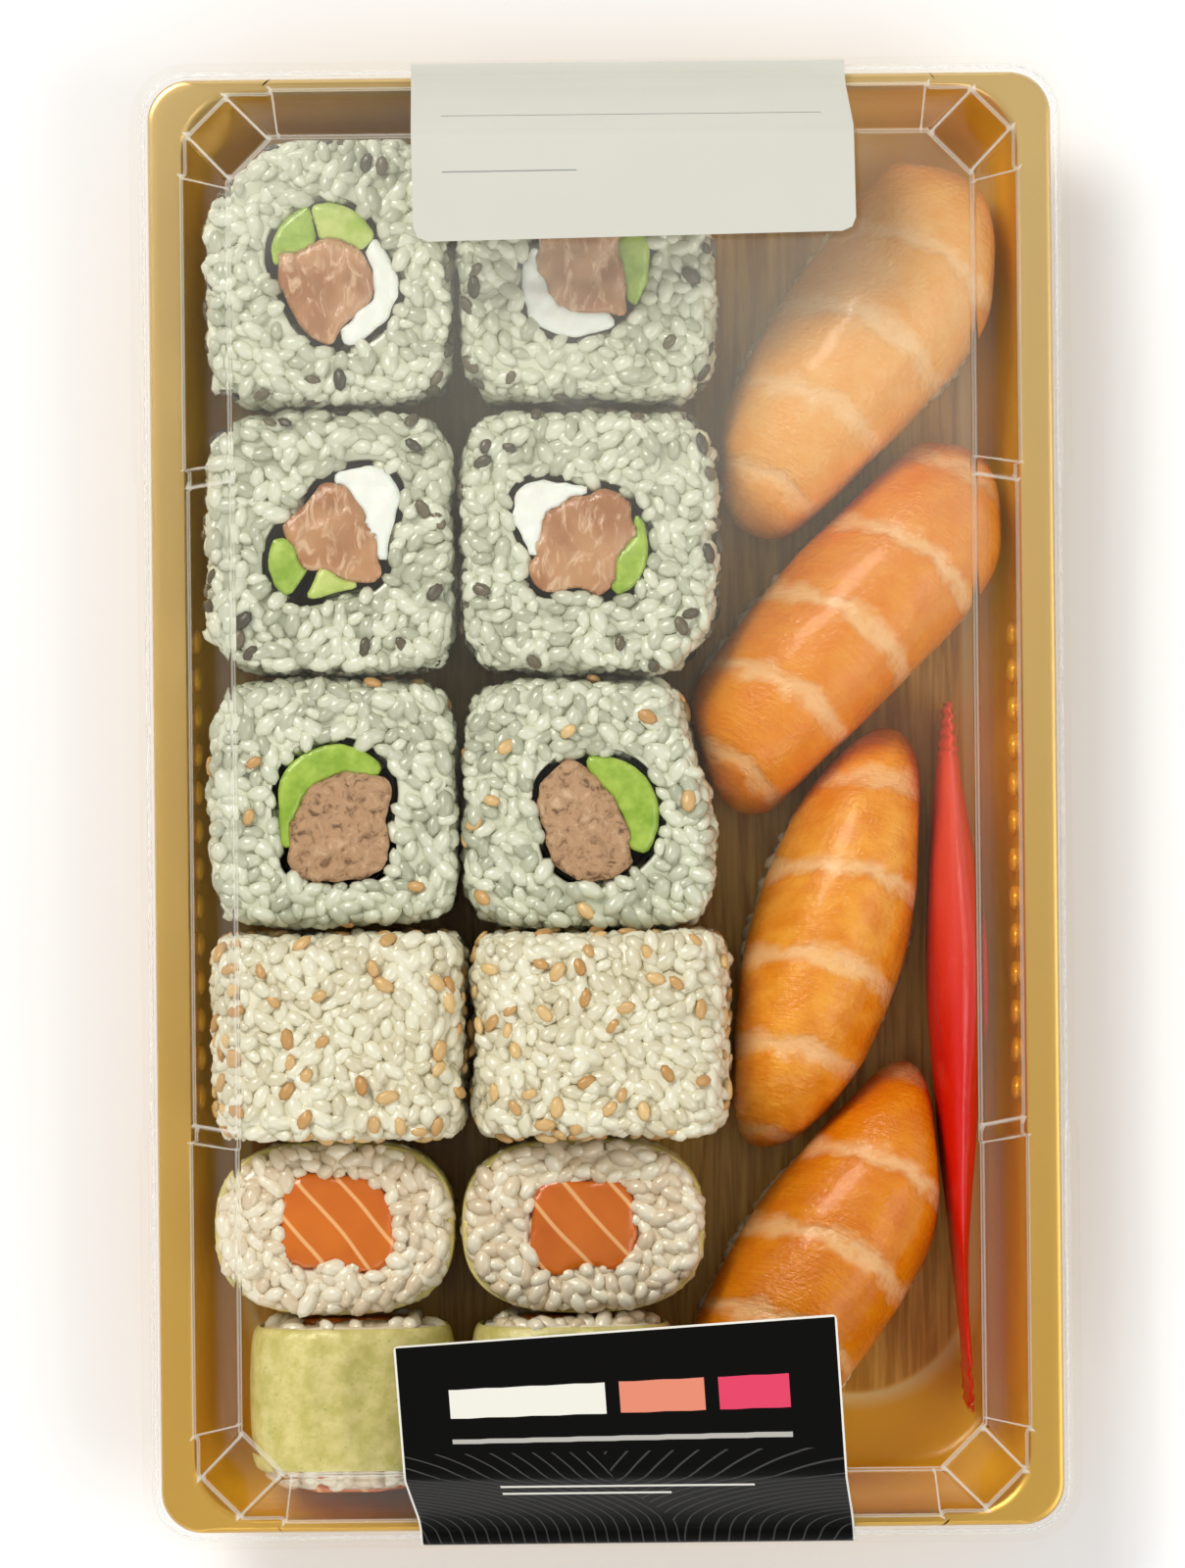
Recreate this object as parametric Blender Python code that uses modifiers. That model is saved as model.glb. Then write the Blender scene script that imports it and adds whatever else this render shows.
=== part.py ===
# Takeaway sushi tray: a gold tray with a clear snap-on lid, shut round twelve rolls, four nigiri and
# a sachet, with one label folded over each end. Sizes are in millimetres and are turned into metres
# where a mesh is made. +X is across the tray, +Y along it and +Z up; the origin is under its middle.

import math
import random

import bmesh
import bpy
from mathutils import Matrix, Vector

MM = 0.001
GAP = 0.3  # between pieces that touch
SEED = 11

# Tray
SHEET = 0.6  # thickness of the tray
RIM_HEIGHT = 20.0  # top face of the rim
RIM_X = 65.2
RIM_Y = 104.9
RIM_RADIUS = 6.0
LIP_DROP = 2.2
MOUTH_X = 60.2
MOUTH_Y = 103.0
CORNER_STEPS = 4

# Lid
FILM = 0.5  # thickness of the lid
LID_HEIGHT = 46.0
FLANGE_HEIGHT = RIM_HEIGHT + GAP + 0.1 + FILM
DOME_TOP_X = 52.85
DOME_TOP_Y = 94.75
DOME_BASE_X = 60.4
DOME_BASE_Y = 103.3
DOME_CUT = 6.4  # legs of the cut-off corners
CREASE_X = 47.2  # where the creases of the corner facets meet the foot of the dome
CREASE_Y = 90.7
PANEL_STEP = 0.6  # how far the side panels stand proud of the corner facets
RIB_Y = 47.0
RIB_WIDTH = 2.8
RIB_DEPTH = 0.8
WAIST_DEPTH = 0.55  # how far the wall lies back between the ribs
SKIRT_X = RIM_X + GAP + FILM
SKIRT_Y = RIM_Y + GAP + FILM
SKIRT_DROP = 3.9
SKIRT_FLARE = 0.5
OUTER_X = 68.0
OUTER_Y = 107.5
OUTER_RADIUS = 8.5

# Labels, on the outside of the lid
LABEL = 0.25  # thickness
WHITE_LABEL = {"middle": 4.9, "start": 79.9, "width": 62.5, "tilt": 0.9, "corner": 2.0}
BLACK_LABEL = {"middle": 0.45, "start": 74.4, "width": 62.6, "tilt": 3.6, "corner": 0.4}

# Rolls
FLOOR = SHEET + GAP
TALL = 30.0  # length of a rice-outside roll
SHORT = 28.0  # length of a wrapped roll
NORI = 0.5
WRAP = 0.9
ROUND_STEPS = 28
BUMP = 0.4  # half of a rice grain's relief

# Each standing level is (share of the height, share of the outline)
STANDING = [(0.0, 0.86), (0.2, 0.985), (0.8, 1.0), (1.0, 0.965)]
LYING = [(0.0, 0.92), (0.1, 0.99), (0.9, 0.99), (1.0, 0.92)]
FACE_RINGS = [0.5, 0.0]
THINNEST = 0.9  # of a filling

# Reach of the cavity and of the fish in it, every 45 degrees from +X, from the middle of the fish.
# Round the fish lie the other fillings, each over a range of angles.
FILLINGS = {
    "roll_1_left": {
        "middle": (0.3, -3.2),
        "cavity": [10.8, 11.2, 14.1, 12.5, 7.8, 7.4, 8.8, 9.2],
        "fish": [6.0, 6.9, 7.7, 8.0, 20.0, 20.0, 6.5, 4.6],
        "round": {"cheese": (-80, 50), "avocado_pale": (56, 101), "avocado": (105, 152)},
    },
    "roll_1_right": {
        "middle": (0.2, -0.2),
        "cavity": [9.8, 10.9, 8.6, 9.8, 10.2, 11.7, 10.4, 9.8],
        "fish": [4.8, 6.5, 20.0, 20.0, 7.0, 6.5, 6.0, 6.9],
        "round": {"avocado": (-34, 50), "cheese": (158, 292)},
    },
    "roll_2_left": {
        "middle": (0.6, 0.8),
        "cavity": [8.8, 13.0, 10.2, 7.2, 9.8, 12.3, 9.0, 9.8],
        "fish": [6.0, 5.6, 8.6, 20.0, 6.8, 6.2, 5.2, 20.0],
        "round": {"cheese": (-25, 84), "avocado": (176, 236), "avocado_pale": (240, 290)},
    },
    "roll_2_right": {
        "middle": (-1.8, -0.7),
        "cavity": [11.4, 10.9, 9.8, 12.9, 8.2, 9.4, 7.0, 10.6],
        "fish": [6.9, 20.0, 7.7, 6.2, 6.2, 20.0, 20.0, 7.9],
        "round": {"avocado": (-48, 26), "cheese": (76, 196)},
    },
    "roll_3_left": {
        "middle": (1.0, -2.9),
        "cavity": [7.5, 10.7, 12.4, 12.1, 9.8, 10.9, 9.4, 9.9],
        "fish": [20.0, 9.2, 7.0, 6.6, 7.4, 20.0, 20.0, 20.0],
        "round": {"avocado": (50, 200)},
    },
    "roll_3_right": {
        "middle": (-0.4, -3.2),
        "cavity": [11.4, 12.2, 11.2, 10.2, 7.2, 8.0, 8.8, 9.6],
        "fish": [5.6, 5.3, 8.4, 20.0, 20.0, 20.0, 20.0, 7.9],
        "round": {"avocado": (-22, 92)},
    },
}
WRAPPED_FISH = {
    "left": {"middle": (0.0, 1.4), "reach": [8.9, 8.0, 6.4, 8.6, 8.0, 9.0, 6.4, 10.2]},
    "right": {"middle": (0.4, 0.3), "reach": [7.4, 8.2, 6.4, 8.8, 8.0, 9.4, 6.0, 8.4]},
}

# Middle of each roll, with half its width and half its depth
ROLLS = {
    "roll_1_left": ((-38.9, 76.5), (17.4, 18.9)),
    "roll_1_right": ((-2.0, 76.5), (18.1, 18.9)),
    "roll_2_left": ((-39.0, 37.6), (17.6, 18.6)),
    "roll_2_right": ((-2.0, 37.4), (18.3, 18.6)),
    "roll_3_left": ((-38.9, 0.4), (17.6, 17.6)),
    "roll_3_right": ((-2.4, -0.2), (17.9, 17.8)),
    "roll_4_left": ((-38.5, -33.1), (17.9, 14.3)),
    "roll_4_right": ((-1.1, -33.1), (18.2, 14.3)),
    "roll_5_left": ((-39.5, -60.7), (17.4, 12.7)),
    "roll_5_right": ((-3.9, -60.7), (17.7, 12.7)),
    "roll_6_left": ((-37.4, -85.3), (15.1, 10.4)),
    "roll_6_right": ((-5.6, -85.3), (15.0, 10.4)),
}
RICE_SQUARENESS = 6.5
WRAP_SQUARENESS = 2.8
LYING_RICE_HALF_HEIGHT = 18.6
LYING_WRAP_HALF_HEIGHT = 14.6
LYING_WRAP_LIFT = 1.2
LYING_WRAP_BULGE = (1.0, 2.6)  # of the rice, at the inner and outer end

# Nigiri: middle, angle from +X, length, width and how much wider the far end of the fish is
NIGIRI = {
    "nigiri_1": ((37.2, 64.6), 54.0, 63.5, 28.4, 0.08),
    "nigiri_2": ((35.6, 24.8), 48.0, 66.5, 27.6, 0.0),
    "nigiri_3": ((32.0, -20.2), 70.0, 67.0, 24.8, 0.0),
    "nigiri_4": ((31.8, -65.6), 57.0, 64.0, 27.0, 0.0),
}
# What a piece is pressed against: a point on the plane of contact and the direction it faces
PRESSED = {
    "nigiri_1": [((34.0, 43.6), -47), ((16.5, 50.0), 180), ((57.4, 80.0), 0)],
    "nigiri_2": [((34.0, 43.6), 133), ((33.0, 6.4), -46), ((57.7, 40.0), 0), ((13.2, 8.0), 197)],
    "nigiri_3": [((33.0, 6.4), 134), ((32.6, -44.8), -49), ((17.7, -38.0), 180), ((45.6, -8.0), 0)],
    "nigiri_4": [((32.6, -44.8), 131), ((46.8, -42.0), 5), ((10.4, -82.0), 180)],
    "roll_1_left": [((-52.4, 90.0), 135)],
    "roll_2_right": [((13.0, 21.6), -40)],
    "roll_3_right": [((13.2, 8.0), 17)],
}
PRESS_DEPTH = 1.6  # how far from the plane the flattening starts
NIGIRI_TOP = 30.5
FISH_THICKNESS = 5.0
FISH_INSET = 4.0  # how far in from the edge its underside starts
FISH_EDGE = (9.5, 4.0)  # height of the fish's lower edge, at the sides and at the ends
NIGIRI_LENGTH_STEPS = 9
NIGIRI_WIDTH_STEPS = 6
NIGIRI_ROUNDING = 0.32  # 0 is a rectangle in plan and 0.5 an ellipse
RICE_FOOT = [(6.5, 0.97), (3.5, 0.98), (0.0, 0.88)]  # height and share of the outline, below the fish

# Sachet, standing on its long edge: (place along the tray, place across it, half its thickness)
SACHET_STATIONS = [
    (14.0, 49.6, 0.5),
    (5.0, 49.7, 1.7),
    (-8.0, 50.1, 3.5),
    (-20.0, 50.6, 4.6),
    (-30.0, 50.7, 4.6),
    (-41.0, 50.6, 3.6),
    (-55.0, 50.4, 2.2),
    (-70.0, 50.8, 0.9),
    (-88.5, 51.8, 0.5),
]
SACHET_HEIGHT = 24.0
SACHET_STEPS = 16
SACHET_ROUND = 10


def finish(name, colour, roughness, metallic=0.0, alpha=1.0):
    made = bpy.data.materials.new(name)
    made.use_nodes = True
    shader = made.node_tree.nodes["Principled BSDF"]
    shader.inputs["Base Color"].default_value = (*colour, 1.0)
    shader.inputs["Roughness"].default_value = roughness
    shader.inputs["Metallic"].default_value = metallic
    shader.inputs["Alpha"].default_value = alpha
    made.diffuse_color = (*colour, alpha)
    return made


def add_object(name, data, material, parent=None):
    piece = bpy.data.objects.new(name, data)
    pack.objects.link(piece)
    piece.parent = parent
    if material:
        data.materials.append(material)
    return piece


def add_mesh(name, points, faces, material, parent=None):
    """A piece from points in millimetres; points that fall together are merged."""
    mesh = bpy.data.meshes.new(name)
    mesh.from_pydata([Vector(point) * MM for point in points], [], faces)
    shape = bmesh.new()
    shape.from_mesh(mesh)
    bmesh.ops.remove_doubles(shape, verts=shape.verts, dist=1e-6)
    bmesh.ops.recalc_face_normals(shape, faces=shape.faces)
    shape.to_mesh(mesh)
    shape.free()
    return add_object(name, mesh, material, parent)


def add_holder(name, place, turn=(0.0, 0.0, 0.0)):
    """An empty that carries the pieces of one roll or nigiri."""
    holder = bpy.data.objects.new(name, None)
    pack.objects.link(holder)
    holder.location = Vector(place) * MM
    holder.rotation_euler = [math.radians(angle) for angle in turn]
    return holder


def solidify(piece, thickness, offset):
    shell = piece.modifiers.new("thickness", "SOLIDIFY")
    shell.thickness = thickness * MM
    shell.offset = offset
    shell.use_even_offset = True


def loft_faces(rings, count, closed=False):
    """Quads between neighbouring rings of count points each."""
    faces = []
    for ring in range(rings if closed else rings - 1):
        low = ring * count
        high = ((ring + 1) % rings) * count
        for step in range(count):
            after = (step + 1) % count
            faces.append((low + step, low + after, high + after, high + step))
    return faces


def superellipse(half_x, half_y, squareness, steps=ROUND_STEPS):
    outline = []
    for step in range(steps):
        angle = math.tau * step / steps
        east = math.cos(angle)
        north = math.sin(angle)
        reach = (abs(east) ** squareness + abs(north) ** squareness) ** (-1 / squareness)
        outline.append((half_x * east * reach, half_y * north * reach))
    return outline


def reach_at(samples, angle):
    """Smooth closed curve through the samples, which are evenly spaced round the circle."""
    place = (angle % math.tau) / math.tau * len(samples)
    first = int(place)
    share = place - first
    before, start, end, after = (samples[(first + k) % len(samples)] for k in (-1, 0, 1, 2))
    slope_in = (end - before) / 2
    slope_out = (after - start) / 2
    bend = 2 * (start - end) + slope_in + slope_out
    return start + share * (slope_in + share * (end - start - slope_in - bend + share * bend))


def polar_outline(middle, samples, grow=0.0):
    outline = []
    for step in range(ROUND_STEPS):
        angle = math.tau * step / ROUND_STEPS
        reach = reach_at(samples, angle) + grow
        outline.append((middle[0] + reach * math.cos(angle), middle[1] + reach * math.sin(angle)))
    return outline


# Tray and lid


def rounded_quarter(half_x, half_y, radius):
    """Points of one rounded corner, from the +X side to the +Y side."""
    corner = []
    for step in range(CORNER_STEPS + 1):
        angle = math.pi / 2 * step / CORNER_STEPS
        corner.append(
            (half_x - radius + radius * math.cos(angle), half_y - radius + radius * math.sin(angle))
        )
    return corner


def all_quarters(quarter):
    """A closed outline from its first quarter, by symmetry about both axes."""
    outline = list(quarter)
    outline += [(-x, y) for x, y in reversed(quarter)]
    outline += [(-x, -y) for x, y in quarter]
    outline += [(x, -y) for x, y in reversed(quarter)]
    return outline


def make_tray():
    # (half width, half length, corner radius, height) of the upper and inner surface
    sections = [
        (RIM_X, RIM_Y, RIM_RADIUS, RIM_HEIGHT - LIP_DROP),
        (RIM_X - 0.3, RIM_Y - 0.3, RIM_RADIUS, RIM_HEIGHT),
        (MOUTH_X, MOUTH_Y, 9.0, RIM_HEIGHT),
        (58.2, 99.6, 12.0, 6.0),
        (57.4, 98.4, 12.5, 3.0),
        (56.6, 97.4, 12.8, 1.3),
        (55.0, 95.5, 13.2, SHEET),
    ]
    points = []
    for half_x, half_y, radius, height in sections:
        outline = all_quarters(rounded_quarter(half_x, half_y, radius))
        points += [(x, y, height) for x, y in outline]
    count = 4 * (CORNER_STEPS + 1)
    faces = loft_faces(len(sections), count)
    faces.append(tuple(range(len(points) - count, len(points))))
    tray = add_mesh("tray", points, faces, gold)
    face_up(tray)
    solidify(tray, SHEET, -1.0)


def face_up(piece):
    """Turns an open surface so that its widest flat part faces up."""
    shape = bmesh.new()
    shape.from_mesh(piece.data)
    widest = max(shape.faces, key=lambda face: face.calc_area())
    if widest.normal.z < 0:
        bmesh.ops.reverse_faces(shape, faces=shape.faces)
    shape.to_mesh(piece.data)
    shape.free()


def dome_quarter(half_x, half_y, crease, cut, step, relief):
    """A quarter of the dome's outline: ribbed side, crease, cut corner, crease."""
    low = RIB_Y - RIB_WIDTH / 2
    high = RIB_Y + RIB_WIDTH / 2
    slant = 0.3
    quarter = [
        (half_x - WAIST_DEPTH * relief, low),
        (half_x - RIB_DEPTH * relief, low + slant),
        (half_x - RIB_DEPTH * relief, high - slant),
        (half_x, high),
        (half_x, crease[1]),
        (half_x - step, crease[1] + step / 2),
    ]
    for share in range(CORNER_STEPS + 1):
        along = cut * share / CORNER_STEPS
        quarter.append((half_x - step - along, half_y - step - cut + along))
    quarter.append((crease[0] + step / 2, half_y - step))
    quarter.append((crease[0], half_y))
    return quarter


def skirt_quarter(half_x, half_y, radius, waist):
    """A quarter of the flange's outline, point for point like the dome's."""
    low = RIB_Y - RIB_WIDTH / 2
    high = RIB_Y + RIB_WIDTH / 2
    quarter = [(half_x - waist, low), (half_x - waist, low + 0.9), (half_x, high - 0.9), (half_x, high)]
    quarter += [(half_x, CREASE_Y), (half_x, CREASE_Y + 0.4)]
    quarter += rounded_quarter(half_x, half_y, radius)
    quarter += [(CREASE_X + 0.4, half_y), (CREASE_X, half_y)]
    return quarter


def make_lid():
    top_crease = (DOME_TOP_X - DOME_CUT, DOME_TOP_Y - DOME_CUT)
    skirt_low = FLANGE_HEIGHT - SKIRT_DROP
    sections = [
        (dome_quarter(DOME_TOP_X, DOME_TOP_Y, top_crease, DOME_CUT, 0.0, 0.25), LID_HEIGHT),
        (
            dome_quarter(DOME_BASE_X, DOME_BASE_Y, (CREASE_X, CREASE_Y), DOME_CUT, PANEL_STEP, 1.0),
            FLANGE_HEIGHT,
        ),
        (skirt_quarter(SKIRT_X, SKIRT_Y, RIM_RADIUS + 0.8, 0.0), FLANGE_HEIGHT),
        (skirt_quarter(SKIRT_X + SKIRT_FLARE, SKIRT_Y + SKIRT_FLARE, 7.4, 0.3), skirt_low),
        (skirt_quarter(OUTER_X, OUTER_Y, OUTER_RADIUS, 0.6), skirt_low - 0.5),
    ]
    points = []
    for quarter, height in sections:
        points += [(x, y, height) for x, y in all_quarters(quarter)]
    count = 4 * len(sections[0][0])
    faces = loft_faces(len(sections), count)
    faces.append(tuple(range(count)))
    lid = add_mesh("lid", points, faces, clear)
    face_up(lid)
    solidify(lid, FILM, -1.0)


def offset_path(path, gap):
    """A polyline moved gap to its left, with mitred corners."""
    moved = []
    for k, place in enumerate(path):
        into = (Vector(place) - Vector(path[k - 1])).normalized() if k else None
        out = (Vector(path[k + 1]) - Vector(place)).normalized() if k + 1 < len(path) else None
        into = into or out
        out = out or into
        normals = [Vector((-way.y, way.x)) for way in (into, out)]
        mitre = (normals[0] + normals[1]).normalized()
        moved.append(Vector(place) + mitre * gap / mitre.dot(normals[0]))
    return moved


def make_label(name, label, end, material):
    """A sheet from the dome's top over its end wall and the flange; end is +1 or -1."""
    outside = [
        (label["start"], LID_HEIGHT),
        (DOME_TOP_Y, LID_HEIGHT),
        (DOME_BASE_Y - 1.0, FLANGE_HEIGHT + 3.0),
        (DOME_BASE_Y + 0.9, FLANGE_HEIGHT),
        (SKIRT_Y, FLANGE_HEIGHT),
        (SKIRT_Y + SKIRT_FLARE * 0.9, FLANGE_HEIGHT - SKIRT_DROP * 0.9),
    ]
    path = offset_path(outside, GAP)
    lean = math.tan(math.radians(label["tilt"]))
    half = label["width"] / 2
    points = []
    run = 0.0
    for row, place in enumerate(path):
        if row:
            run += (place - path[row - 1]).length
        if row == 0:
            corner = label["corner"]
            for inset, back in ((corner, 0.0), (0.0, corner)):
                for side in (-1, 1):
                    across = side * (half - inset)
                    along = place.x + back - end * across * -lean
                    shift = -end * lean * back
                    points.append((label["middle"] + across + shift, end * along, place.y))
        else:
            shift = -end * lean * run
            for side in (-1, 1):
                points.append((label["middle"] + side * half + shift, end * place.x, place.y))
    faces = [(row * 2, row * 2 + 1, row * 2 + 3, row * 2 + 2) for row in range(len(path))]
    sheet = add_mesh(name, points, faces, material)
    face_up(sheet)
    solidify(sheet, LABEL, 1.0)


# Food


def contacts(name, place, angle=0.0):
    """The planes that a piece is pressed against, as it sees them from its own place and turn."""
    turn = Matrix.Rotation(-math.radians(angle), 2)
    planes = []
    for point, facing in PRESSED.get(name, []):
        planes.append((turn @ (Vector(point) - Vector(place)), math.radians(facing - angle)))
    return planes


def press(x, y, planes, inset=0.0):
    """Pushes a point in plan back behind each plane of contact, ever more gently with distance."""
    for point, facing in planes:
        way = Vector((math.cos(facing), math.sin(facing)))
        past = (Vector((x, y)) - point).dot(way) + inset + GAP / 2 + PRESS_DEPTH
        if past > 0:
            kept = PRESS_DEPTH * (1 - math.exp(-past / PRESS_DEPTH))
            x += way.x * (kept - past)
            y += way.y * (kept - past)
    return x, y


# Rolls


def sleeve(
    name, holder, inner, outer, height, levels, material, bulge=(0.0, 0.0), bump=0.0, side_bump=0.0, both=False
):
    """A tube between two outlines of as many points each. Its outer side follows the levels and its
    ends bulge, with bumps where they are rice. With both, its bore follows the levels too."""
    count = len(outer)
    points = []

    def ring(share, level, scale, lift, rough):
        for (ix, iy), (ox, oy) in zip(inner, outer):
            bore = scale if both else 1.0
            x = ix * bore + (ox * scale - ix * bore) * share
            y = iy * bore + (oy * scale - iy * bore) * share
            if rough:
                x += rough * draw.uniform(-1, 1)
                y += rough * draw.uniform(-1, 1)
                lift_here = lift + rough * draw.uniform(-1, 1)
            else:
                lift_here = lift
            points.append((x, y, height * level + lift_here))

    if both:
        for level, scale in levels:
            ring(1.0, level, scale, 0.0, 0.0)
        for level, scale in reversed(levels):
            ring(0.0, level, scale, 0.0, 0.0)
    else:
        rings = FACE_RINGS if bump else [0.0]
        first_level, first_scale = levels[0]
        for share in reversed(rings if bulge[0] else [0.0]):
            ring(share, first_level, first_scale, -bulge[0] * (1 - share**2), bump if share else 0.0)
        for level, scale in levels:
            share_of_bump = 1.0 if 0.0 < level < 1.0 else 0.5 * bool(level)
            ring(1.0, level, scale, 0.0, share_of_bump * side_bump)
        last_level, last_scale = levels[-1]
        for share in rings:
            ring(share, last_level, last_scale, bulge[1] * (1 - share**2), bump if share else 0.0)
    total = len(points) // count
    return add_mesh(name, points, loft_faces(total, count, closed=True), material, holder)


def bar(name, holder, outline, low, high, material):
    """A straight piece of filling: a flat outline with a thickness."""
    curve = bpy.data.curves.new(name, "CURVE")
    curve.dimensions = "2D"
    curve.fill_mode = "BOTH"
    curve.extrude = (high - low) / 2 * MM
    spline = curve.splines.new("POLY")
    spline.points.add(len(outline) - 1)
    for point, (x, y) in zip(spline.points, outline):
        point.co = (x * MM, y * MM, 0.0, 1.0)
    spline.use_cyclic_u = True
    piece = add_object(name, curve, material, holder)
    piece.location.z = (low + high) / 2 * MM
    return piece


def sector_outline(middle, near, far, first, last):
    """A filling between two closed curves, given by their reach at each step, from step first to last.
    Its two radial sides are drawn back by most of a gap."""

    def place(reaches, step, back):
        ends = []
        for k in (step, step + back):
            angle = math.tau * k / ROUND_STEPS
            reach = reaches[k % ROUND_STEPS]
            ends.append(Vector((middle[0] + reach * math.cos(angle), middle[1] + reach * math.sin(angle))))
        if not back:
            return tuple(ends[0])
        return tuple(ends[0] + (ends[1] - ends[0]).normalized() * 0.8 * GAP)

    backs = [1] + [0] * (last - first - 1) + [-1]
    outside = [place(far, step, back) for step, back in zip(range(first, last + 1), backs)]
    inside = [place(near, step, back) for step, back in zip(range(first, last + 1), backs)]
    return outside + inside[::-1]


def make_filled_roll(name):
    (x, y), (half_x, half_y) = ROLLS[name]
    holder = add_holder(name, (x, y, FLOOR))
    filling = FILLINGS[name]
    middle = filling["middle"]
    cavity = filling["cavity"]
    fish = filling["fish"]
    hole = polar_outline(middle, cavity)
    planes = contacts(name, (x, y))
    outside = [press(*beyond(middle, step, half_x, half_y), planes) for step in range(ROUND_STEPS)]
    sleeve(f"{name}_rice", holder, hole, outside, TALL, STANDING, rice, bump=BUMP, side_bump=BUMP)
    slack = 1.4 * GAP
    sheet_out = polar_outline(middle, cavity, -slack)
    sheet_in = polar_outline(middle, cavity, -slack - NORI)
    sleeve(f"{name}_nori", holder, sheet_in, sheet_out, TALL + 0.2, [(0.0, 1.0), (1.0, 1.0)], nori)

    angles = [math.tau * step / ROUND_STEPS for step in range(ROUND_STEPS)]
    far = [reach_at(cavity, angle) - 2 * slack - NORI for angle in angles]
    core = [min(reach_at(fish, angle), most) for angle, most in zip(angles, far)]
    near = [min(reach + slack, most - THINNEST) for reach, most in zip(core, far)]
    spans = {}
    for kind, ends in filling["round"].items():
        spans[kind] = [round(end / 360 * ROUND_STEPS) for end in ends]
    fish_outline = []
    for step, angle in enumerate(angles):
        covered = any(
            first <= step + turn <= last for first, last in spans.values() for turn in (-ROUND_STEPS, 0)
        )
        reach = near[step] - slack if covered else far[step]
        fish_outline.append((middle[0] + reach * math.cos(angle), middle[1] + reach * math.sin(angle)))
    if name.startswith("roll_3"):
        bar(f"{name}_tuna", holder, fish_outline, 0.0, TALL + 0.3, tuna)
    else:
        bar(f"{name}_salmon", holder, fish_outline, 0.0, TALL + 0.3, salmon)
    for kind, (first, last) in spans.items():
        colour = cheese if kind == "cheese" else avocado
        bar(f"{name}_{kind}", holder, sector_outline(middle, near, far, first, last), 0.0, TALL + 0.1, colour)


def beyond(middle, step, half_x, half_y, squareness=RICE_SQUARENESS, steps=ROUND_STEPS):
    """Where a ray from the middle, at this step round the circle, leaves the roll."""
    angle = math.tau * step / steps
    way = (math.cos(angle), math.sin(angle))
    near = 0.0
    far = 2 * max(half_x, half_y)
    for _ in range(30):
        reach = (near + far) / 2
        x = abs(middle[0] + way[0] * reach) / half_x
        y = abs(middle[1] + way[1] * reach) / half_y
        if x**squareness + y**squareness < 1:
            near = reach
        else:
            far = reach
    return middle[0] + way[0] * near, middle[1] + way[1] * near


def make_lying_rice(name):
    """A rice-outside roll on its side, so its cut faces look along the tray."""
    (x, y), (half_x, half_length) = ROLLS[name]
    holder = add_holder(name, (x, y + half_length, FLOOR + LYING_RICE_HALF_HEIGHT), (90, 0, 0))
    outline = superellipse(half_x, LYING_RICE_HALF_HEIGHT, RICE_SQUARENESS - 0.6)
    points = []
    for level, scale in LYING:
        rough = BUMP if 0 < level < 1 else 0.0
        for px, py in outline:
            low = py < -0.8 * LYING_RICE_HALF_HEIGHT
            wave = 0.0 if low else rough
            points.append(
                (
                    px * scale + wave * draw.uniform(-1, 1),
                    py * scale + wave * draw.uniform(-1, 1),
                    2 * half_length * level,
                )
            )
    count = len(outline)
    faces = loft_faces(len(LYING), count)
    faces.append(tuple(range(count)))
    faces.append(tuple(range(len(points) - count, len(points))))
    add_mesh(f"{name}_rice", points, faces, rice, holder)


def make_wrapped_roll(name, lying):
    """A roll of rice and fish in a thin green wrap, standing on its cut face or on its side."""
    (x, y), (half_x, half_y) = ROLLS[name]
    side = name.rsplit("_", 1)[1]
    if lying:
        length = 2 * half_y
        half_up = LYING_WRAP_HALF_HEIGHT
        height = FLOOR + LYING_WRAP_LIFT + half_up
        holder = add_holder(name, (x, y + half_y, height), (90, 0, 0))
        levels = LYING
        bulge = LYING_WRAP_BULGE
    else:
        length = SHORT
        half_up = half_y
        holder = add_holder(name, (x, y, FLOOR))
        levels = STANDING
        bulge = (0.0, 0.0)
    fish = WRAPPED_FISH[side]
    middle = fish["middle"]
    sheet_out = superellipse(half_x, half_up, WRAP_SQUARENESS)
    sheet_in = superellipse(half_x - WRAP, half_up - WRAP, WRAP_SQUARENESS)
    sleeve(f"{name}_wrap", holder, sheet_in, sheet_out, length, levels, wrap, both=True)
    inset = WRAP + GAP
    outside = [
        beyond(middle, step, half_x - inset, half_up - inset, WRAP_SQUARENESS) for step in range(ROUND_STEPS)
    ]
    hole = polar_outline(middle, fish["reach"])
    inner_rice = [(level, scale - 0.012) for level, scale in levels]
    sleeve(f"{name}_rice", holder, hole, outside, length, inner_rice, rice, bulge=bulge, bump=BUMP)
    core = polar_outline(middle, fish["reach"], -1.4 * GAP)
    bar(f"{name}_salmon", holder, core, -bulge[0], length + bulge[1] + 0.2, orange)


# Nigiri


def slice_point(u, v, length, width, top, flare):
    """A point of the draped surface; u runs along the nigiri and v across it, both from -1 to 1."""
    along = math.sin(u * math.pi / 2)
    across = math.sin(v * math.pi / 2)
    x = length / 2 * along * math.sqrt(1 - NIGIRI_ROUNDING * across**2)
    y = width / 2 * across * math.sqrt(1 - NIGIRI_ROUNDING * along**2) * (1 + flare * along)
    foot = FISH_EDGE[0] + (FISH_EDGE[1] - FISH_EDGE[0]) * abs(along) ** 4
    rise = max(0.0, (1 - abs(along) ** 3.2) * (1 - abs(across) ** 2.6)) ** 0.45
    return x, y, foot + (top - foot) * rise


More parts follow.
